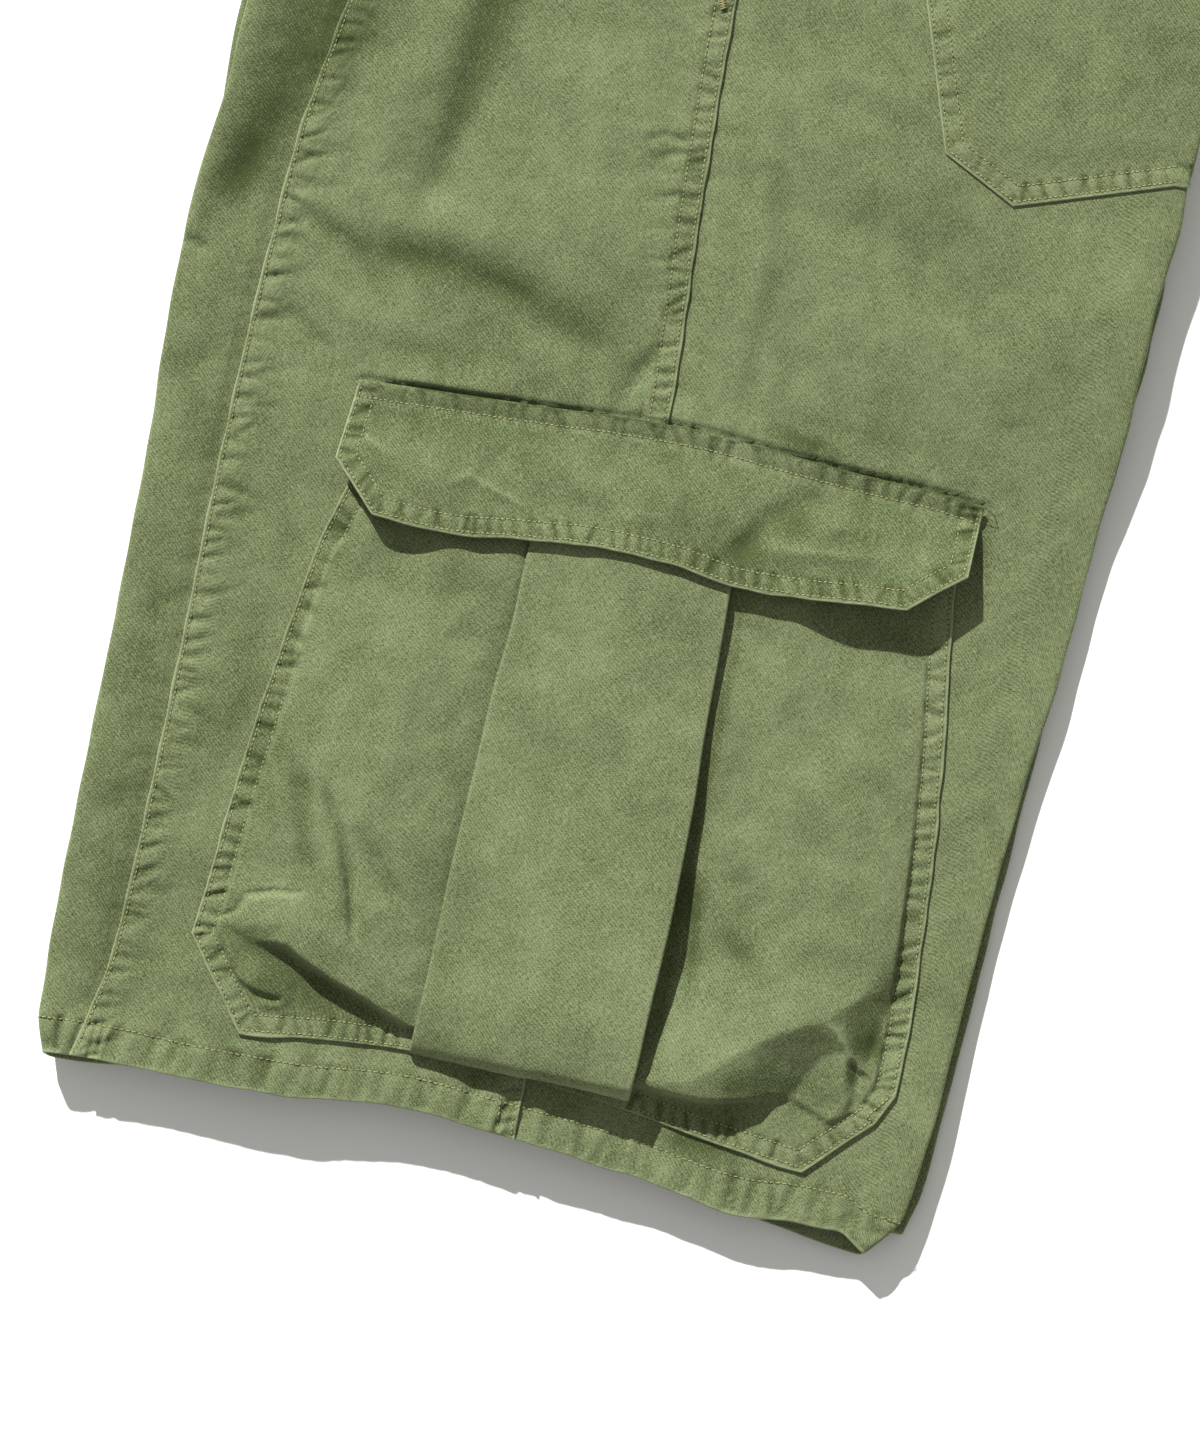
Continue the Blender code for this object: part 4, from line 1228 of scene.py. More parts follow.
def stitch_shape():
    """A short arched thread, one long, one wide and one high, whose ends dive into the cloth."""
    stations = [(-0.5, 0.45, -0.45), (-0.3, 0.95, 0.1), (0, 1, 0.25), (0.3, 0.95, 0.1), (0.5, 0.45, -0.45)]
    corners = 5
    turns = [2 * math.pi * (k + 0.25) / corners for k in range(corners)]
    places = [(along, 0.5 * radius * math.cos(turn), rise + 0.5 * radius * math.sin(turn))
              for along, radius, rise in stations for turn in turns]
    return np.array(places), tube_faces(len(stations), corners)


def dot_shape():
    """A small flat round."""
    turns = np.linspace(0, 2 * math.pi, 6, endpoint=False)
    return stacked(0.5 * np.cos(turns), 0.5 * np.sin(turns), 0 * turns), np.array([range(6)])


STITCH = stitch_shape()
DOT = dot_shape()


# ----------------------------------------
# Legs

def leg_rows(fine, coarse):
    """Heights up the leg and the drop below the skin, from inside the hem to the waist seam."""
    rows = TURNED_HEM + edge_rows((1.6, 16, 0.8), (16, 420, fine), (420, WAIST_SEAM, coarse))
    return np.array(rows + [Turned(WAIST_SEAM + 4, 0)]).T


def near_cloth(panel, xs, y, drop):
    """Columns of the near leg's upper face over places xs: the points, and the rubbing with painted shading,
    of each.
    """
    points, wear_and_shading = near_top(panel, np.stack(xs, 1), y[:, None])
    points[..., 2] -= drop[:, None]
    return list(zip(points.transpose(1, 0, 2), wear_and_shading.T))


def folded_edge(panel, edge, inwards, y, drop):
    """Columns of a side that is folded under, from below it round to the top."""
    columns = near_cloth(panel, [edge + inwards * turn.inward for turn in TURNED_EDGE], y, 0 * drop)
    for (points, _), turn in zip(columns, TURNED_EDGE):
        points[:, 2] -= np.maximum(turn.drop, drop)
    return columns


def front_side():
    """Near outer front between the lapped seam and the side seam."""
    y, drop = leg_rows(1.05, 2.6)
    lap = leg_line("lap", y) + 0.25 * rumple_along(y, 9, 48)
    side = leg_line("side", y) + 0.2 * rumple_along(y, 9, 49)
    rim = np.arange(1.2, 11, 0.75)
    xs = [lap + step for step in rim]
    xs += [lap + rim[-1] + (side - lap - 2 * rim[-1]) * share for share in np.linspace(0, 1, 66)[1:-1]]
    xs += [side - step for step in rim[::-1]]
    columns = folded_edge("front_side", lap, 1, y, drop) + near_cloth("front_side", xs, y, drop)
    columns += folded_edge("front_side", side, -1, y, drop)[::-1]
    lay_panel("near_front_side", columns, y, 165, 92000, ["near_back"])


def crease_columns(leg, edge, y, drop, outer, spacing=9):
    """Columns round a crease and along the inner face to the inner seam."""
    columns = []
    for turn in np.linspace(0, math.pi, 15)[1:-1]:
        rub = math.exp(-((turn - 1.25) / 0.35) ** 2) * (0.7 + 0.6 * rumple_along(y, 12, 46))
        columns.append((turn_round(leg, edge, turn, y, outer, drop), rub))
    start = flat_end(leg, edge, y)
    end = leg_line(edge + "_in", y)
    for share in fill_between(start[0], end[0], spacing):
        columns.append((flat_layer(leg, start + (end - start) * share, y, False, drop), 0 * y))
    return columns


def front_inner():
    """Near inner front from under the lapped seam round the front crease."""
    y, drop = leg_rows(1.05, 2.6)
    lap = leg_line("lap", y)
    start = flat_end("near", "front", y)
    xs = [start + (lap - start) * share for share in np.linspace(0, 1, 20)] + [lap + 1.5, lap + 4]
    top = near_cloth("front_inner", xs, y, drop)
    top[-1][0][:, 2] -= TUCKED
    turned = crease_columns("near", "front", y, drop, top[0][0][:, 2] + drop)
    lay_panel("near_front_inner", turned[::-1] + top, y, 180, 85000, ["far_front_inner"])


def back():
    """Near back from under the side seam round the back crease."""
    y, drop = leg_rows(1.3, 2.6)
    side = leg_line("side", y)
    end = flat_end("near", "back", y)
    xs = [side - 4, side - 1.5] + [side + step for step in np.arange(0.2, 9, 1.1)]
    first = xs[-1]
    xs += [first + (end - first) * share for share in np.linspace(0, 1, 76)[1:]]
    top = near_cloth("back", xs, y, drop)
    top[0][0][:, 2] -= TUCKED
    turned = crease_columns("near", "back", y, drop, top[-1][0][:, 2] + drop)
    lay_panel("near_back", top + turned, y, 355, 190000, ["far_back"])


def far_leg():
    """The three panels of the far leg."""
    y, drop = leg_rows(4.0, 4.0)
    lap = leg_line("lap", y)
    side = leg_line("side", y)
    for name, first, last, edge, width, area in (
            ("front_side", lap, side, None, 165, 90000),
            ("front_inner", lap, flat_end("far", "front", y), "front", 180, 85000),
            ("back", side, flat_end("far", "back", y), "back", 355, 190000)):
        columns = [(flat_layer("far", first + (last - first) * share, y, True, drop), 0 * y)
                   for share in fill_between(first[0], last[0], 6)]
        if edge:
            columns += crease_columns("far", edge, y, drop, FAR_OUT + 0 * y)
        lay_panel("far_" + name, columns[::-1], y, width, area)


def leg_stitches():
    """Stitches of both legs: lapped seam, side seam and hem, and the bartack below the side pocket."""
    needle = Needle(5)
    y = np.arange(1.0, WAIST_SEAM - 1, 1.0)
    side = leg_line("side", y)
    seams = (leg_line("lap", y) + EDGE_ROW, side - EDGE_ROW, side - INNER_ROW)
    for x in seams:
        needle.row(near_top("front_side", x, y)[0])
    level = np.full(1, HEM_DEPTH)
    lap_x, side_x = (leg_line(column, level)[0] for column in ("lap", "side"))
    front_x, back_x = (flat_end("near", edge, level)[0] for edge in ("front", "back"))
    for panel, start, end in (("front_inner", front_x, lap_x), ("front_side", lap_x, side_x),
                              ("back", side_x, back_x)):
        x = np.arange(start, end, 1.0)
        needle.row(near_top(panel, x, HEM_DEPTH + 0.3 * rumple_along(x, 30, 19))[0], length=1.2)
    turn = np.linspace(0, math.pi, 12)
    level = HEM_DEPTH + 0 * turn
    for edge, start in (("front", front_x), ("back", back_x)):
        outward = -INWARDS[edge]
        for leg, outer, facing in (("near", LEG_FACE + 0.4, 1), ("far", FAR_OUT, -1)):
            line = turn_round(leg, edge, turn, level, outer + 0 * turn, -0.05)
            rise = np.abs(np.cos(turn)) * (np.sign(np.cos(turn)) * facing)
            needle.row(line, stacked(outward * np.sin(turn), 0 * turn, rise))
            x = np.linspace(start, start - outward * 40, 30)
            needle.row(flat_layer(leg, x, HEM_DEPTH + 0 * x, False, 0), (0, 0, -facing))
    x = np.linspace(front_x, back_x, 200)
    needle.row(flat_layer("far", x, HEM_DEPTH + 0 * x, True, 0), DOWN)
    for x in seams:
        needle.row(flat_layer("far", x, y, True, 0), DOWN)
    spot = near_top("front_side", np.array([-8.6]), np.array([417.5]))[0][0]
    needle.bartack(spot, (-0.3, 1, 0), 7.0, 2.6)
    needle.finish("leg_stitches", "leg_twill")


# ----------------------------------------
# Cargo pocket

def pocket_place(x, up):
    """Height on the leg for a distance above the pocket's lower edge."""
    low = through(POCKET_BOTTOM, "x", "y", x)
    return low + up * (POCKET_TOP - low) / POCKET_RISE


def pocket_rim(distance, run):
    """Height, and rubbing with painted shade in the gathers' dips, of the pocket's sewn rim."""
    relief, wear_and_shading = rim_relief(distance, run, POCKET_RIM)
    return RIM_RISE + relief, wear_and_shading


def puffed(x, y, lines, seed):
    """Rise, and rubbing with painted shade, of the pocket's cloth beside the pleat."""
    sharp = draped_between(x, y, lines)
    crisp = blur(sharp, 1)
    soft = blur(sharp, 18)
    corner = 1 - smooth(70, 84, y)
    rise = crisp * corner + soft * (1 - corner)
    edge, run = nearest(x, y, POCKET_EDGE)
    start = INNER_ROW + 0.5 - 2.2 * smooth(-90, -105, x) * smooth(150, 158, y) * (1 - smooth(194, 202, y))
    body = smooth(start, start + 6, edge)
    rise = rise + folded(x, y, POCKET_FOLDS)
    rise = rise + body * (0.34 * rumple(x, y, 28, seed) + 0.10 * rumple(x, y, 12, seed + 1)
                          + 0.025 * rumple(x, y, 5, seed + 2))
    rim, wear_and_shading = pocket_rim(edge, run)
    share = smooth(start - 0.3, start + 1.3, edge)
    kept = np.maximum(rise, RIM_RISE - 0.4)
    return rim * (1 - share) + kept * share, wear_and_shading


def pleat_face(x, up):
    """Places and rises of the pleat's face, whose lower end is a soft lip."""
    lip = through(LIP, "x", "y", x)
    y = lip + np.maximum(up - FACE_START, 0) * (POCKET_TOP - lip) / (POCKET_RISE - FACE_START)
    left, right, rise_left, rise_right = (through(PLEAT, "y", column, y) for column in PLEAT[0]._fields[1:])
    share = np.clip((x - left) / (right - left), 0, 1)
    rise = rise_left * (1 - share) + rise_right * share
    rise = rise + 0.45 * rumple(x, y, 36, 61) + 0.16 * rumple(x, y, 14, 62) + 0.02 * rumple(x, y, 5, 63)
    reach = np.clip((up - FACE_START) / 1.6, 0, 1)
    rise = rise - 1.2 * (1 - np.sqrt(1 - (1 - reach) ** 2))
    under = up < FACE_START
    tuck = np.clip((FACE_START - up) / 1.5, 0, 1)
    rim_y = pocket_place(x, np.minimum(up, FACE_START))
    y = np.where(under, lip * (1 - tuck) + rim_y * tuck, y)
    rise = np.where(under, (rise - 2) * (1 - tuck) + RIM_RISE * tuck, rise)
    return y, rise


def pocket_side(side, up, drop):
    """Grid of one side of the pocket, from its folded edge in under the pleat's face."""
    column, lines, edge_seed, seed = POCKET_HALVES[side]
    low = CORNER_LOW[column]
    edge_y = low + up * (POCKET_TOP - low) / POCKET_RISE
    edge_x = straight(POCKET_SIDES, "y", column, edge_y) + 0.22 * rumple_along(edge_y, 9, edge_seed)
    pleat_x = through(PLEAT, "y", column, pocket_place(np.full(len(up), 40.0 * side), up))
    hidden_x = pleat_x - side * PLEAT_DEPTH
    rim = TURNED_EDGE + edge_rows((1.2, 10, 0.72))
    rim_end = edge_x - side * rim[-1].inward
    xs = [edge_x - side * turn.inward for turn in rim]
    xs += [rim_end + (pleat_x - rim_end) * share for share in np.linspace(0, 1, 104)[1:]]
    xs += [pleat_x + (hidden_x - pleat_x) * share for share in (0.25, 0.5, 0.75, 1.0)]
    falls = [turn.drop for turn in rim] + [0] * (len(xs) - len(rim))
    x = np.stack(xs, 1)
    drop = np.maximum(falls, drop[:, None])
    share = np.clip((x - edge_x[:, None]) / (pleat_x - edge_x)[:, None], 0, 1)
    y = edge_y[:, None] + (pocket_place(x, up[:, None]) - edge_y[:, None]) * smooth(0, 0.35, share)
    rise, wear_and_shading = puffed(x, y, lines, seed)
    return stacked(x, y, leg_top(x, y) + rise - drop), wear_and_shading


def pocket_fold(side, body_edge, face_edge):
    """Columns of the pleat's hidden fold and outer fold, between the body and the face."""
    hidden, body_y, low = body_edge.T
    x_face, face_y, top = face_edge.T
    columns = [stacked(hidden - side * 0.6, body_y, low + 0.35), stacked(hidden, body_y, low + 0.7)]
    for share in (0.3, 0.6, 0.85):
        z = low + 0.7 + (top - 2.0 - low - 0.7) * share ** 1.3
        columns.append(stacked(hidden + (x_face - hidden) * share, body_y * (1 - share) + face_y * share, z))
    for turn in np.linspace(math.pi, 0, 8)[1:-1]:
        x = x_face - side * PLEAT_ROLL + side * PLEAT_ROLL * math.sin(turn)
        columns.append(stacked(x, face_y, top - PLEAT_ROLL + PLEAT_ROLL * math.cos(turn)))
    return np.stack(columns, 1)


def cargo_pocket():
    """Near cargo pocket: rims, puffed sides and the box pleat in one sheet."""
    rows = TURNED_EDGE + edge_rows((1.2, 62, 0.72), (62, 212, 1.25)) + [Turned(POCKET_RISE, 0)]
    up, drop = np.array(rows).T
    left, left_wear_and_shading = pocket_side(-1, up, drop)
    right, right_wear_and_shading = pocket_side(1, up, drop)
    middle_y = pocket_place(0 * up, up)
    face_left = through(PLEAT, "y", "left", middle_y) + PLEAT_ROLL
    face_right = through(PLEAT, "y", "right", middle_y) - PLEAT_ROLL
    x = face_left[:, None] + (face_right - face_left)[:, None] * np.linspace(0, 1, 62)
    y, rise = pleat_face(x, up[:, None])
    face = stacked(x, y, leg_top(x, y) + rise - drop[:, None])
    fold_left = pocket_fold(-1, left[:, -1], face[:, 0] - (PLEAT_ROLL, 0, 0))
    fold_right = pocket_fold(1, right[:, -1], face[:, -1] + (PLEAT_ROLL, 0, 0))
    points = np.concatenate([left, fold_left, face, fold_right[:, ::-1], right[:, ::-1]], 1)
    face_wear_and_highlight = np.zeros(x.shape) + 0.5 * bell(up, 9.2, 0.7)[:, None]
    face_wear_and_highlight[:, (0, -1)] += (0.05, 0.3)
    # Painted highlight on the lower right of the pleat's face
    face_wear_and_highlight += 0.4 * smooth(2, 24, x) * (1 - smooth(55, 90, up[:, None]))
    fold_wear = np.zeros(fold_left.shape[:2])
    fold_wear[:, -4:] = 0.7
    wear_and_shading = np.concatenate([left_wear_and_shading, 0.2 * fold_wear, face_wear_and_highlight, fold_wear[:, ::-1], right_wear_and_shading[:, ::-1]], 1)
    x, y = points[..., 0], points[..., 1]
    # Painted highlights along the crests of the pocket's ridges
    wear_and_shading = wear_and_shading + 1.3 * folded(x, y, POCKET_PAINTED_HIGHLIGHTS)
    beside = np.ones(wear_and_shading.shape)
    beside[:, left.shape[1]:-right.shape[1]] = 0
    # Painted shade and highlight on the pocket's sides, not on the pleat's face
    wear_and_shading = wear_and_shading + beside * folded(x, y, POCKET_PAINTED_SHADING)
    under = ["near_front_side", "near_back"]
    lay("near_cargo_pocket", points, wear_and_shading, "pocket_twill", (335, 245), 78000, under)


def pocket_stitches():
    """Double rows round the cargo pocket, its bartacks, and the far pocket's rows."""
    needle = Needle(7)
    for distance in (EDGE_ROW, INNER_ROW):
        x, y = resample(inset(POCKET_EDGE, distance), 1.0).T
        rise, _ = pocket_rim(*nearest(x, y, POCKET_EDGE))
        needle.pair(x, y, leg_top(x, y) + rise)
    for x, y in ((-100.5, 235), (112, 235)):
        z = leg_top(np.array([x]), np.array([y]))[0] + RIM_RISE + 0.1
        needle.bartack((x, y, z), (1, 0.1, 0), 7, 1.6)
    needle.finish("cargo_pocket_stitches", "pocket_twill")


# ----------------------------------------
# Flap

def flap_lean(x, share):
    """Places across the flap, whose ends lean in towards the seam."""
    left = FLAP_LEAN * np.clip((x - FLAP[1].x) / (FLAP[0].x - FLAP[1].x), 0, 1) * (1 - share)
    right = 1.1 * np.clip((x - FLAP[-2].x) / (FLAP[-1].x - FLAP[-2].x), 0, 1) * (0.5 - share)
    return x + left + right


def flap_point(x, y):
    """Points, and rubbing with painted shade, of the flap at some places."""
    top = flap_line("top", x)
    down = top - y
    seam_rise = 2.6
    above_seam = flap_line("rise", x) - seam_rise
    full = np.clip((down - 7) / np.maximum(top - flap_foot(x) - 7, 1), 0, 1) ** 0.9
    z = seam_rise + 0.7 * (1 - smooth(0, 6, down)) + above_seam * (0.3 * smooth(7, 30, down) + 0.7 * full)
    edge, run = nearest(x, y, FLAP_EDGE)
    seam, seam_run = nearest(x, y, FLAP_SEAM)
    free = smooth(0, 3, seam)
    relief, wear_and_shading = rim_relief(edge, run, FLAP_RIM)
    dips = creases(seam_run, -seam, FLAP_GATHERS)
    dip_zone = zone_between(seam, 0.4, 1.6, 6.5, 11)
    uneven = 0.4 * rumple(x, y, 24, 75) + 0.12 * rumple(x, y, 10, 76)
    z = z + folded(x, y, FLAP_FOLDS) + smooth(4, 14, edge) * uneven
    z = z + relief * free + strength() * 0.8 * dips * dip_zone + 1.3 * groove(seam, FLAP_SEAM_ROW)
    z = z - 0.5 * np.clip(1 - edge / 0.8, 0, 1) ** 2
    # The whole flap is painted darker, partly its own deeper dye and partly painted shade for its tilt to the
    # light; the gathers' dips too
    wear_and_shading = wear_and_shading * free + (0.3 + 0.8 * dips) * dip_zone - 0.5 + folded(x, y, FLAP_PAINTED_SHADING)
    # Painted shadow line along the seam, where the leg's cloth bulges over the flap's top edge
    painted_seam_shadow = smooth(-92, -84, x) * (1 - 0.6 * bell(x, -54, 5) - 0.5 * bell(x, 22, 9))
    wear_and_shading = wear_and_shading + (0.15 - 1.5 * painted_seam_shadow) * bell(seam, 0.2, 0.6)
    wear_and_shading = wear_and_shading + 0.9 * bell(edge, 0, 0.8, 4) + 1.6 * folded(x, y, FLAP_RUBS)
    return stacked(x, y, z + leg_top(x, y)), wear_and_shading


def flap_cloth():
    """Near flap, two layers turned out."""
    width = FLAP[-1].x - FLAP[0].x
    xs = np.concatenate([[0, 0.25, 0.55, 0.9], np.arange(1.6, width - 1.4, 0.78),
                         [width - 0.9, width - 0.55, width - 0.25, width]]) + FLAP[0].x
    shares = np.concatenate([[0, 0.006, 0.014, 0.024], np.linspace(0.04, 0.96, 56), [0.976, 0.986, 0.994, 1]])
    x, share = np.meshgrid(xs, shares[::-1])
    top = flap_line("top", x)
    points, wear_and_shading = flap_point(flap_lean(x, share), top + (flap_foot(x) - top) * share)
    points[..., 1] += 0.22 * rumple_along(x, 9, 77) * smooth(0.8, 1, share)
    lay("near_cargo_flap", points, wear_and_shading, "pocket_twill", (246, 62), 12500, ["near_cargo_pocket"], 1.2)


def flap_stitches():
    """Rows of the flap: one along its seam and two round its free edge, and a loose end."""
    needle = Needle(9)
    for edge, distance, left_off in ((FLAP_SEAM[::-1], FLAP_SEAM_ROW, 2), (FLAP_EDGE, EDGE_ROW, 2),
                                     (FLAP_EDGE, FLAP_INNER, 7)):
        x, y = resample(inset(edge, distance), 1.0)[left_off:-left_off].T
        needle.pair(x, y, flap_point(x, y)[0][:, 2])
    corner = flap_point(np.array([119.6]), np.array([255.6]))[0][0]
    needle.strand(corner + LOOSE_END, 0.12)
    needle.finish("cargo_flap_stitches", "pocket_twill")


def far_plates():
    """Far cargo pocket and flap, pressed flat under the leg."""
    up = np.linspace(0, 0.84, 50)
    low = CORNER_LOW["left"]
    y = low + up * (POCKET_TOP - low)
    left, right = (straight(POCKET_SIDES, "y", column, y) for column in ("left", "right"))
    x = left[:, None] + (right - left)[:, None] * np.linspace(0, 1, 50)
    low = through(POCKET_BOTTOM, "x", "y", x)
    y = low + up[:, None] * (POCKET_TOP - low)
    relief, wear_and_shading = pocket_rim(*nearest(x, y, POCKET_EDGE))
    z = UNDERSIDE + 0.3 * np.clip(RIM_RISE - relief, 0, 1)
    lay("far_cargo_pocket", stacked(x, y, z)[:, ::-1], wear_and_shading, "pocket_twill", (335, 245), 50000, thickness=1.0)
    x, share = np.meshgrid(np.linspace(FLAP[0].x, FLAP[-1].x, 80), np.linspace(0, 1, 22))
    top = flap_line("top", x)
    points = stacked(x, top + (flap_foot(x) - top) * share, UNDERSIDE + 0 * x)
    lay("far_cargo_flap", points, 0 * x, "pocket_twill", (246, 62), 12500, thickness=1.0)


# ----------------------------------------
# Back pocket

def back_pocket_frame(up, inward):
    """Places of the back pocket: up its left side, and inward from it."""
    corner_x, corner_y = BACK_POCKET_CORNER
    cut = np.maximum(BACK_POCKET_CUT - up, 0)
    left = corner_x + cut * math.cos(BACK_POCKET_TURN) - up * math.sin(BACK_POCKET_TURN)
    left_y = corner_y + cut * math.sin(BACK_POCKET_TURN) + up * math.cos(BACK_POCKET_TURN)
    return left + inward, left_y + inward * math.tan(BACK_POCKET_TURN)


def back_pocket_outline():
    """Edge of the back pocket: down its left side and along its bottom."""
    line = [back_pocket_frame(up, 0) for up in (BACK_POCKET_HEIGHT, BACK_POCKET_CUT, 0)]
    return line + [back_pocket_frame(0, 100)]


def back_pocket_relief(x, y):
    """Rise, and rubbing with painted shade in the gathers' dips, of the back pocket."""
    edge, run = nearest(x, y, back_pocket_outline())
    relief, wear_and_shading = rim_relief(edge, run, BACK_POCKET_RIM)
    swell = smooth(7, 18, edge) * (0.25 + 0.3 * rumple(x, y, 30, 83))
    return 1.0 + relief + swell, wear_and_shading - 0.1 * smooth(7, 12, edge)


def back_pocket(leg):
    """Back patch pocket, running on round the back crease."""
    near = leg == "near"
    rim = TURNED_EDGE + edge_rows((1.3, 10, 0.8))
    mouth = [(BACK_POCKET_HEIGHT - inward, fall) for inward, fall in
             ((1, 0), (0.4, 0.05), (0.1, 0.2), (0, 0.5), (0.3, 0.9), (6, 1.0))]
    ups, drop = np.array(rim + edge_rows((10.5, BACK_POCKET_HEIGHT - 1, 1.6)) + mouth).T
    slope = math.tan(BACK_POCKET_TURN)
    left, left_y = back_pocket_frame(ups, 0.0)
    end = flat_end(leg, "back", left_y)
    end_y = left_y + (end - left) * slope
    end = flat_end(leg, "back", end_y - waist_shift(end, end_y))
    spots = [(left + inward, fall) for inward, fall in rim]
    spots += [(left + 10.4 + (end - left - 10.4) * share, 0) for share in np.linspace(0, 1, 72)]
    columns = []
    wears_and_shading = []
    for x, fall in spots:
        y = left_y + (x - left) * slope
        shift = waist_shift(x, y)
        rise, wear_and_shading = back_pocket_relief(x, y)
        fall = np.maximum(fall, drop)
        z = leg_top(x, y + shift) + rise - fall if near else PATCH_UNDERSIDE + fall
        columns.append(stacked(x, y + shift, z))
        wears_and_shading.append(wear_and_shading)
    outer = leg_top(end, end_y + waist_shift(end, end_y)) if near else FAR_OUT + 0 * end
    for turn in np.linspace(0, math.pi * 0.62, 10)[1:]:
        reach = FOLD_REACH * turn / 2
        y = left_y + (end + reach - left) * slope
        rise, wear_and_shading = back_pocket_relief(end + reach, y)
        columns.append(turn_round(leg, "back", turn, y, outer, drop - (rise if near else 1.4)))
        wears_and_shading.append(wear_and_shading + 0.8 * math.exp(-((turn - 1.25) / 0.3) ** 2))
    if not near:
        columns, wears_and_shading = columns[::-1], wears_and_shading[::-1]
    lay(leg + "_back_pocket", np.stack(columns, 1), np.stack(wears_and_shading, 1), "pocket_twill", (125, 178), 22000,
        [leg + "_back"])


def back_pocket_stitches():
    """Double rows of the back pockets."""
    needle = Needle(11)
    lines = [(resample(inset(back_pocket_outline(), distance), 1.0).T, needle.pair)
             for distance in (EDGE_ROW, BACK_POCKET_ROW)]
    for depth in (3, 20):
        line = back_pocket_frame(BACK_POCKET_HEIGHT - depth, np.arange(2, 95, 1.0))
        lines.append((line, lambda x, y, z: needle.row(stacked(x, y, z))))
    for (x, y), sew in lines:
        kept = x < flat_end("near", "back", y)
        x, y = x[kept], y[kept]
        shift = waist_shift(x, y)
        rise, _ = back_pocket_relief(x, y)
        sew(x, y + shift, leg_top(x, y + shift) + rise)
    needle.finish("back_pocket_stitches", "pocket_twill")


# ----------------------------------------
# Waist

def waistband(leg):
    """Half of the waistband, turned in at both creases."""
    near = leg == "near"
    turned = [(turn.inward, turn.drop * 1.6) for turn in TURNED_EDGE]
    top = [(BAND_HEIGHT - inward, fall) for inward, fall in turned[::-1]]
    up, drop = np.array(turned + edge_rows((1.5, BAND_HEIGHT - 1.2, 1.5)) + top).T
    y = WAIST_SEAM + up
    start = flat_end(leg, "front", y)
    end = flat_end(leg, "back", y)
    zone = zone_between(up, 0.3, 2, 3, 9)
    zone = zone + zone_between(up, BAND_HEIGHT - 9, BAND_HEIGHT - 3, BAND_HEIGHT - 2, BAND_HEIGHT)
    columns = []
    for share in np.linspace(0, 1, 160 if near else 60):
        x = start + (end - start) * share
        shift = waist_shift(x, y)
        dips = creases(x + BEFORE_LEG, up, BAND_GATHERS)
        relief = strength() * 0.5 * dips * zone + groove(up, BAND_ROW) + groove(up, BAND_HEIGHT - BAND_ROW)
        if near:
            z = leg_top(x, y + shift) + 0.5 + relief - drop
        else:
            z = FAR_BAND + np.clip(-relief, 0, 1) + drop
        # Gather dips painted darker, for deeper dye and painted shade; edges paler
        columns.append((stacked(x, y + shift, z), (0.2 + 0.8 * dips) * zone))
    front_face, back_face = (columns[k][0][:, 2] + (drop if near else -drop) for k in (0, -1))
    columns = (crease_columns(leg, "front", y, drop, front_face, 5)[::-1] + columns
               + crease_columns(leg, "back", y, drop, back_face, 5))
    points, wear_and_shading = (np.stack(part, 1) for part in zip(*columns))
    wear_and_shading = wear_and_shading + 0.9 * bell(np.minimum(up, BAND_HEIGHT - up), 0, 0.6)[:, None]
    if not near:
        points, wear_and_shading = points[:, ::-1], wear_and_shading[:, ::-1]
    lay(leg + "_waistband", points, wear_and_shading, "band_twill", (425, 50), 21000)


def belt_loop(leg, name, centre):
    """Belt loop: a folded strip over the waistband."""
    high = WAIST_SEAM + BAND_HEIGHT - 0.6
    across = np.array([1.6, 0.4, 0.0, 0.35, 1.0, 2.0, 3.0, 4.0, 5.0, 6.0])
    falls = np.array([0.95, 0.9, 0.5, 0.12, 0, 0, 0, 0, 0, 0])
    offsets = np.concatenate([across - LOOP_WIDTH / 2, LOOP_WIDTH / 2 - across[-2::-1]])
    falls = np.concatenate([falls, falls[-2::-1]])
    x, y = np.meshgrid(centre + offsets, np.linspace(LOOP_LOW, high, 40))
    shift = waist_shift(x, y)
    arch = 0.9 * np.sin(math.pi * np.clip((y - LOOP_LOW) / (high - LOOP_LOW) * 1.02, 0, 1)) ** 0.5
    ribs = -0.14 * bell(np.abs(x - centre), LOOP_ROW, 0.6)
    wear_and_shading = 0.9 * (falls > 0.05) + 0.2 * rumple(x, y, 7, 95)
    if leg == "near":
        points = stacked(x, y + shift, leg_top(x, y + shift) + 1.1 + arch + ribs - falls)
    else:
        points = stacked(x, y + shift, PATCH_UNDERSIDE + falls + 0 * x)[:, ::-1]
    lay(leg + "_belt_loop_" + name, points, wear_and_shading, "band_twill", (14, 52), 700)


def waist_stitches():
    """Rows along the waistband and up the belt loops."""
    needle = Needle(13)
    x = np.arange(-163, 158, 1.0)
    for up in (BAND_ROW, BAND_HEIGHT - BAND_ROW):
        y = WAIST_SEAM + up
        real = y + waist_shift(x, y)
        needle.pair(x, real, leg_top(x, real) + 0.45, FAR_BAND)
    high = WAIST_SEAM + BAND_HEIGHT
    for _, centre in BELT_LOOPS:
        for side in (-LOOP_ROW, LOOP_ROW):
            y = np.arange(LOOP_LOW + 2, high - 2, 1.0)
            across = centre + side + 0 * y
            real = y + waist_shift(across, y)
            arch = 0.9 * np.sin(math.pi * (y - LOOP_LOW) / (high - LOOP_LOW)) ** 0.5
            needle.row(stacked(across, real, leg_top(across, real) + 1.0 + arch))
        for y in (LOOP_LOW + 1.6, high - 2.2):
            real = y + waist_shift(centre, y)
            z = leg_top(np.array([centre]), np.array([real]))[0] + 1.35
            needle.bartack((centre, real, z), (1, 0, 0), LOOP_WIDTH - 1.5, 1.8)
    needle.finish("waist_stitches", "band_twill")


# ----------------------------------------
# Operators

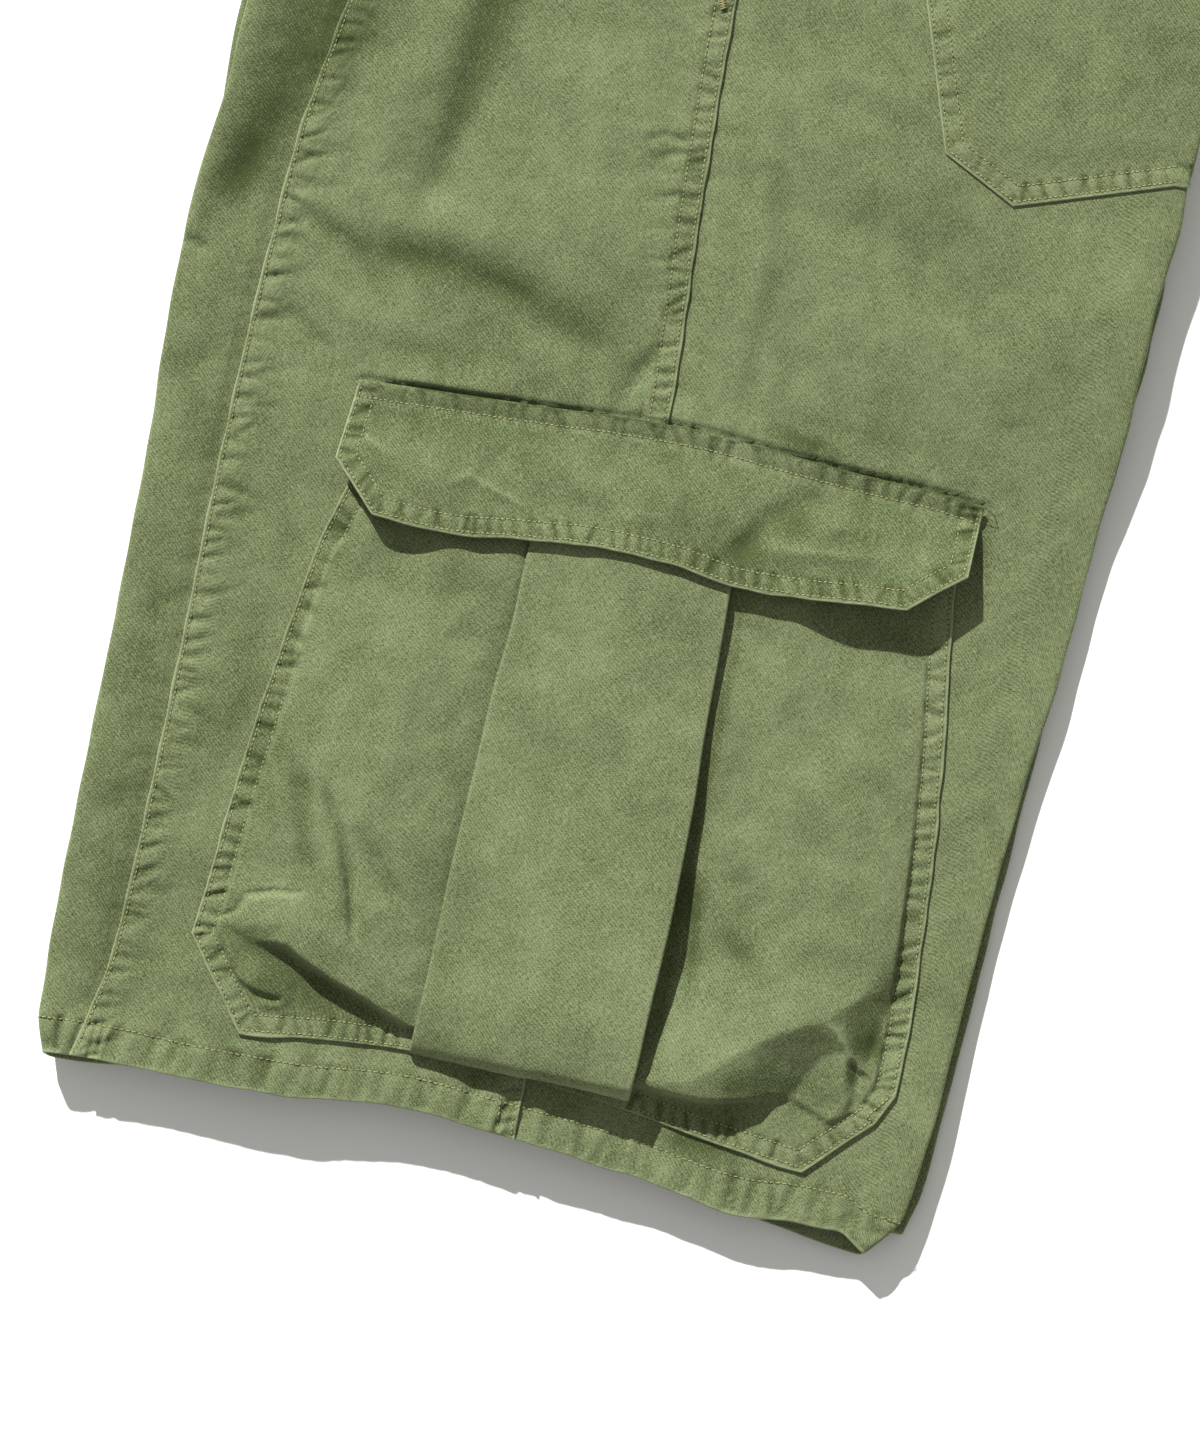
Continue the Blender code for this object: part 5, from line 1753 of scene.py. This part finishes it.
class SHORTS_OT_legs(bpy.types.Operator):
    """Panels of both legs with their seams and hems"""

    bl_idname = "shorts.legs"
    bl_label = "Legs"

    def execute(self, context):
        front_side()
        front_inner()
        back()
        far_leg()
        leg_stitches()
        return {"FINISHED"}


class SHORTS_OT_cargo_pockets(bpy.types.Operator):
    """Pleated cargo pocket, its flap, and the pressed pair on the far leg"""

    bl_idname = "shorts.cargo_pockets"
    bl_label = "Cargo pockets"

    def execute(self, context):
        cargo_pocket()
        pocket_stitches()
        flap_cloth()
        flap_stitches()
        far_plates()
        return {"FINISHED"}


class SHORTS_OT_back_pockets(bpy.types.Operator):
    """Back patch pockets"""

    bl_idname = "shorts.back_pockets"
    bl_label = "Back pockets"

    def execute(self, context):
        for leg in ("near", "far"):
            back_pocket(leg)
        back_pocket_stitches()
        return {"FINISHED"}


class SHORTS_OT_waist(bpy.types.Operator):
    """Waistband and belt loops"""

    bl_idname = "shorts.waist"
    bl_label = "Waist"

    def execute(self, context):
        for leg in ("near", "far"):
            waistband(leg)
            for name, centre in BELT_LOOPS:
                belt_loop(leg, name, centre)
        waist_stitches()
        return {"FINISHED"}


class SHORTS_OT_stage(bpy.types.Operator):
    """Pale floor, studio light and camera"""

    bl_idname = "shorts.stage"
    bl_label = "Stage"

    def execute(self, context):
        settings = context.scene.shorts_stage
        mesh = bpy.data.meshes.new("floor")
        corners = [(x * FLOOR_REACH, y * FLOOR_REACH, 0) for x, y in ((-1, -1), (1, -1), (1, 1), (-1, 1))]
        mesh.from_pydata(corners, [], [(0, 1, 2, 3)])
        finish = Finish("floor_paper")
        finish.feed(Base_Color=(*settings.floor, 1), Roughness=0.9, Specular_IOR_Level=0.1)
        mesh.materials.append(finish.material)
        floor = bpy.data.objects.new("floor", mesh)
        context.scene.collection.objects.link(floor)

        world = bpy.data.worlds.new("studio")
        world.use_nodes = True
        sky = world.node_tree.nodes["Background"]
        sky.inputs["Color"].default_value = (1.0, 0.993, 0.95, 1)
        sky.inputs["Strength"].default_value = settings.fill
        context.scene.world = world

        light = bpy.data.lights.new("key", "SUN")
        light.energy = settings.key
        light.angle = math.radians(1.1)
        light.color = (1.0, 0.99, 0.965)
        key = bpy.data.objects.new("key", light)
        towards = Vector((*LIGHT_FROM, math.tan(settings.height)))
        key.rotation_mode = "QUATERNION"
        key.rotation_quaternion = towards.to_track_quat("Z", "Y")
        key.location = towards
        context.scene.collection.objects.link(key)

        lens = bpy.data.cameras.new("camera")
        camera = bpy.data.objects.new("camera", lens)
        lens.sensor_fit = "AUTO"
        lens.sensor_width = SENSOR
        lens.lens = SENSOR * (settings.camera_height - LEG_FACE * MM) / VIEW_HEIGHT
        lens.clip_end = 50
        aim = (Vector(AIM) + FOOT) * MM
        camera.location = (aim.x, aim.y, settings.camera_height)
        camera.rotation_euler = (0, 0, VIEW_TURN)
        context.scene.collection.objects.link(camera)
        context.scene.camera = camera
        context.scene.view_settings.view_transform = "Standard"
        return {"FINISHED"}


class SHORTS_PT_panel(bpy.types.Panel):
    """Settings and steps of the shorts"""

    bl_label = "Cargo shorts"
    bl_idname = "SHORTS_PT_panel"
    bl_space_type = "VIEW_3D"
    bl_region_type = "UI"
    bl_category = "Shorts"

    def draw(self, context):
        for group in (context.scene.shorts_cloth, context.scene.shorts_stage):
            for name in type(group).__annotations__:
                self.layout.prop(group, name)
        for step in STEPS:
            self.layout.operator(step.bl_idname)


STEPS = (SHORTS_OT_legs, SHORTS_OT_cargo_pockets, SHORTS_OT_back_pockets, SHORTS_OT_waist, SHORTS_OT_stage)
CLASSES = (ClothSettings, StageSettings) + STEPS + (SHORTS_PT_panel,)


def register():
    """Add the classes and the scene's settings."""
    for item in CLASSES:
        bpy.utils.register_class(item)
    bpy.types.Scene.shorts_cloth = bpy.props.PointerProperty(type=ClothSettings)
    bpy.types.Scene.shorts_stage = bpy.props.PointerProperty(type=StageSettings)


def unregister():
    """Remove the classes and the scene's settings."""
    del bpy.types.Scene.shorts_stage
    del bpy.types.Scene.shorts_cloth
    for item in reversed(CLASSES):
        bpy.utils.unregister_class(item)


def main():
    """Build everything."""
    register()
    bpy.ops.shorts.legs()
    bpy.ops.shorts.cargo_pockets()
    bpy.ops.shorts.back_pockets()
    bpy.ops.shorts.waist()
    bpy.ops.shorts.stage()


if __name__ == "__main__":
    main()
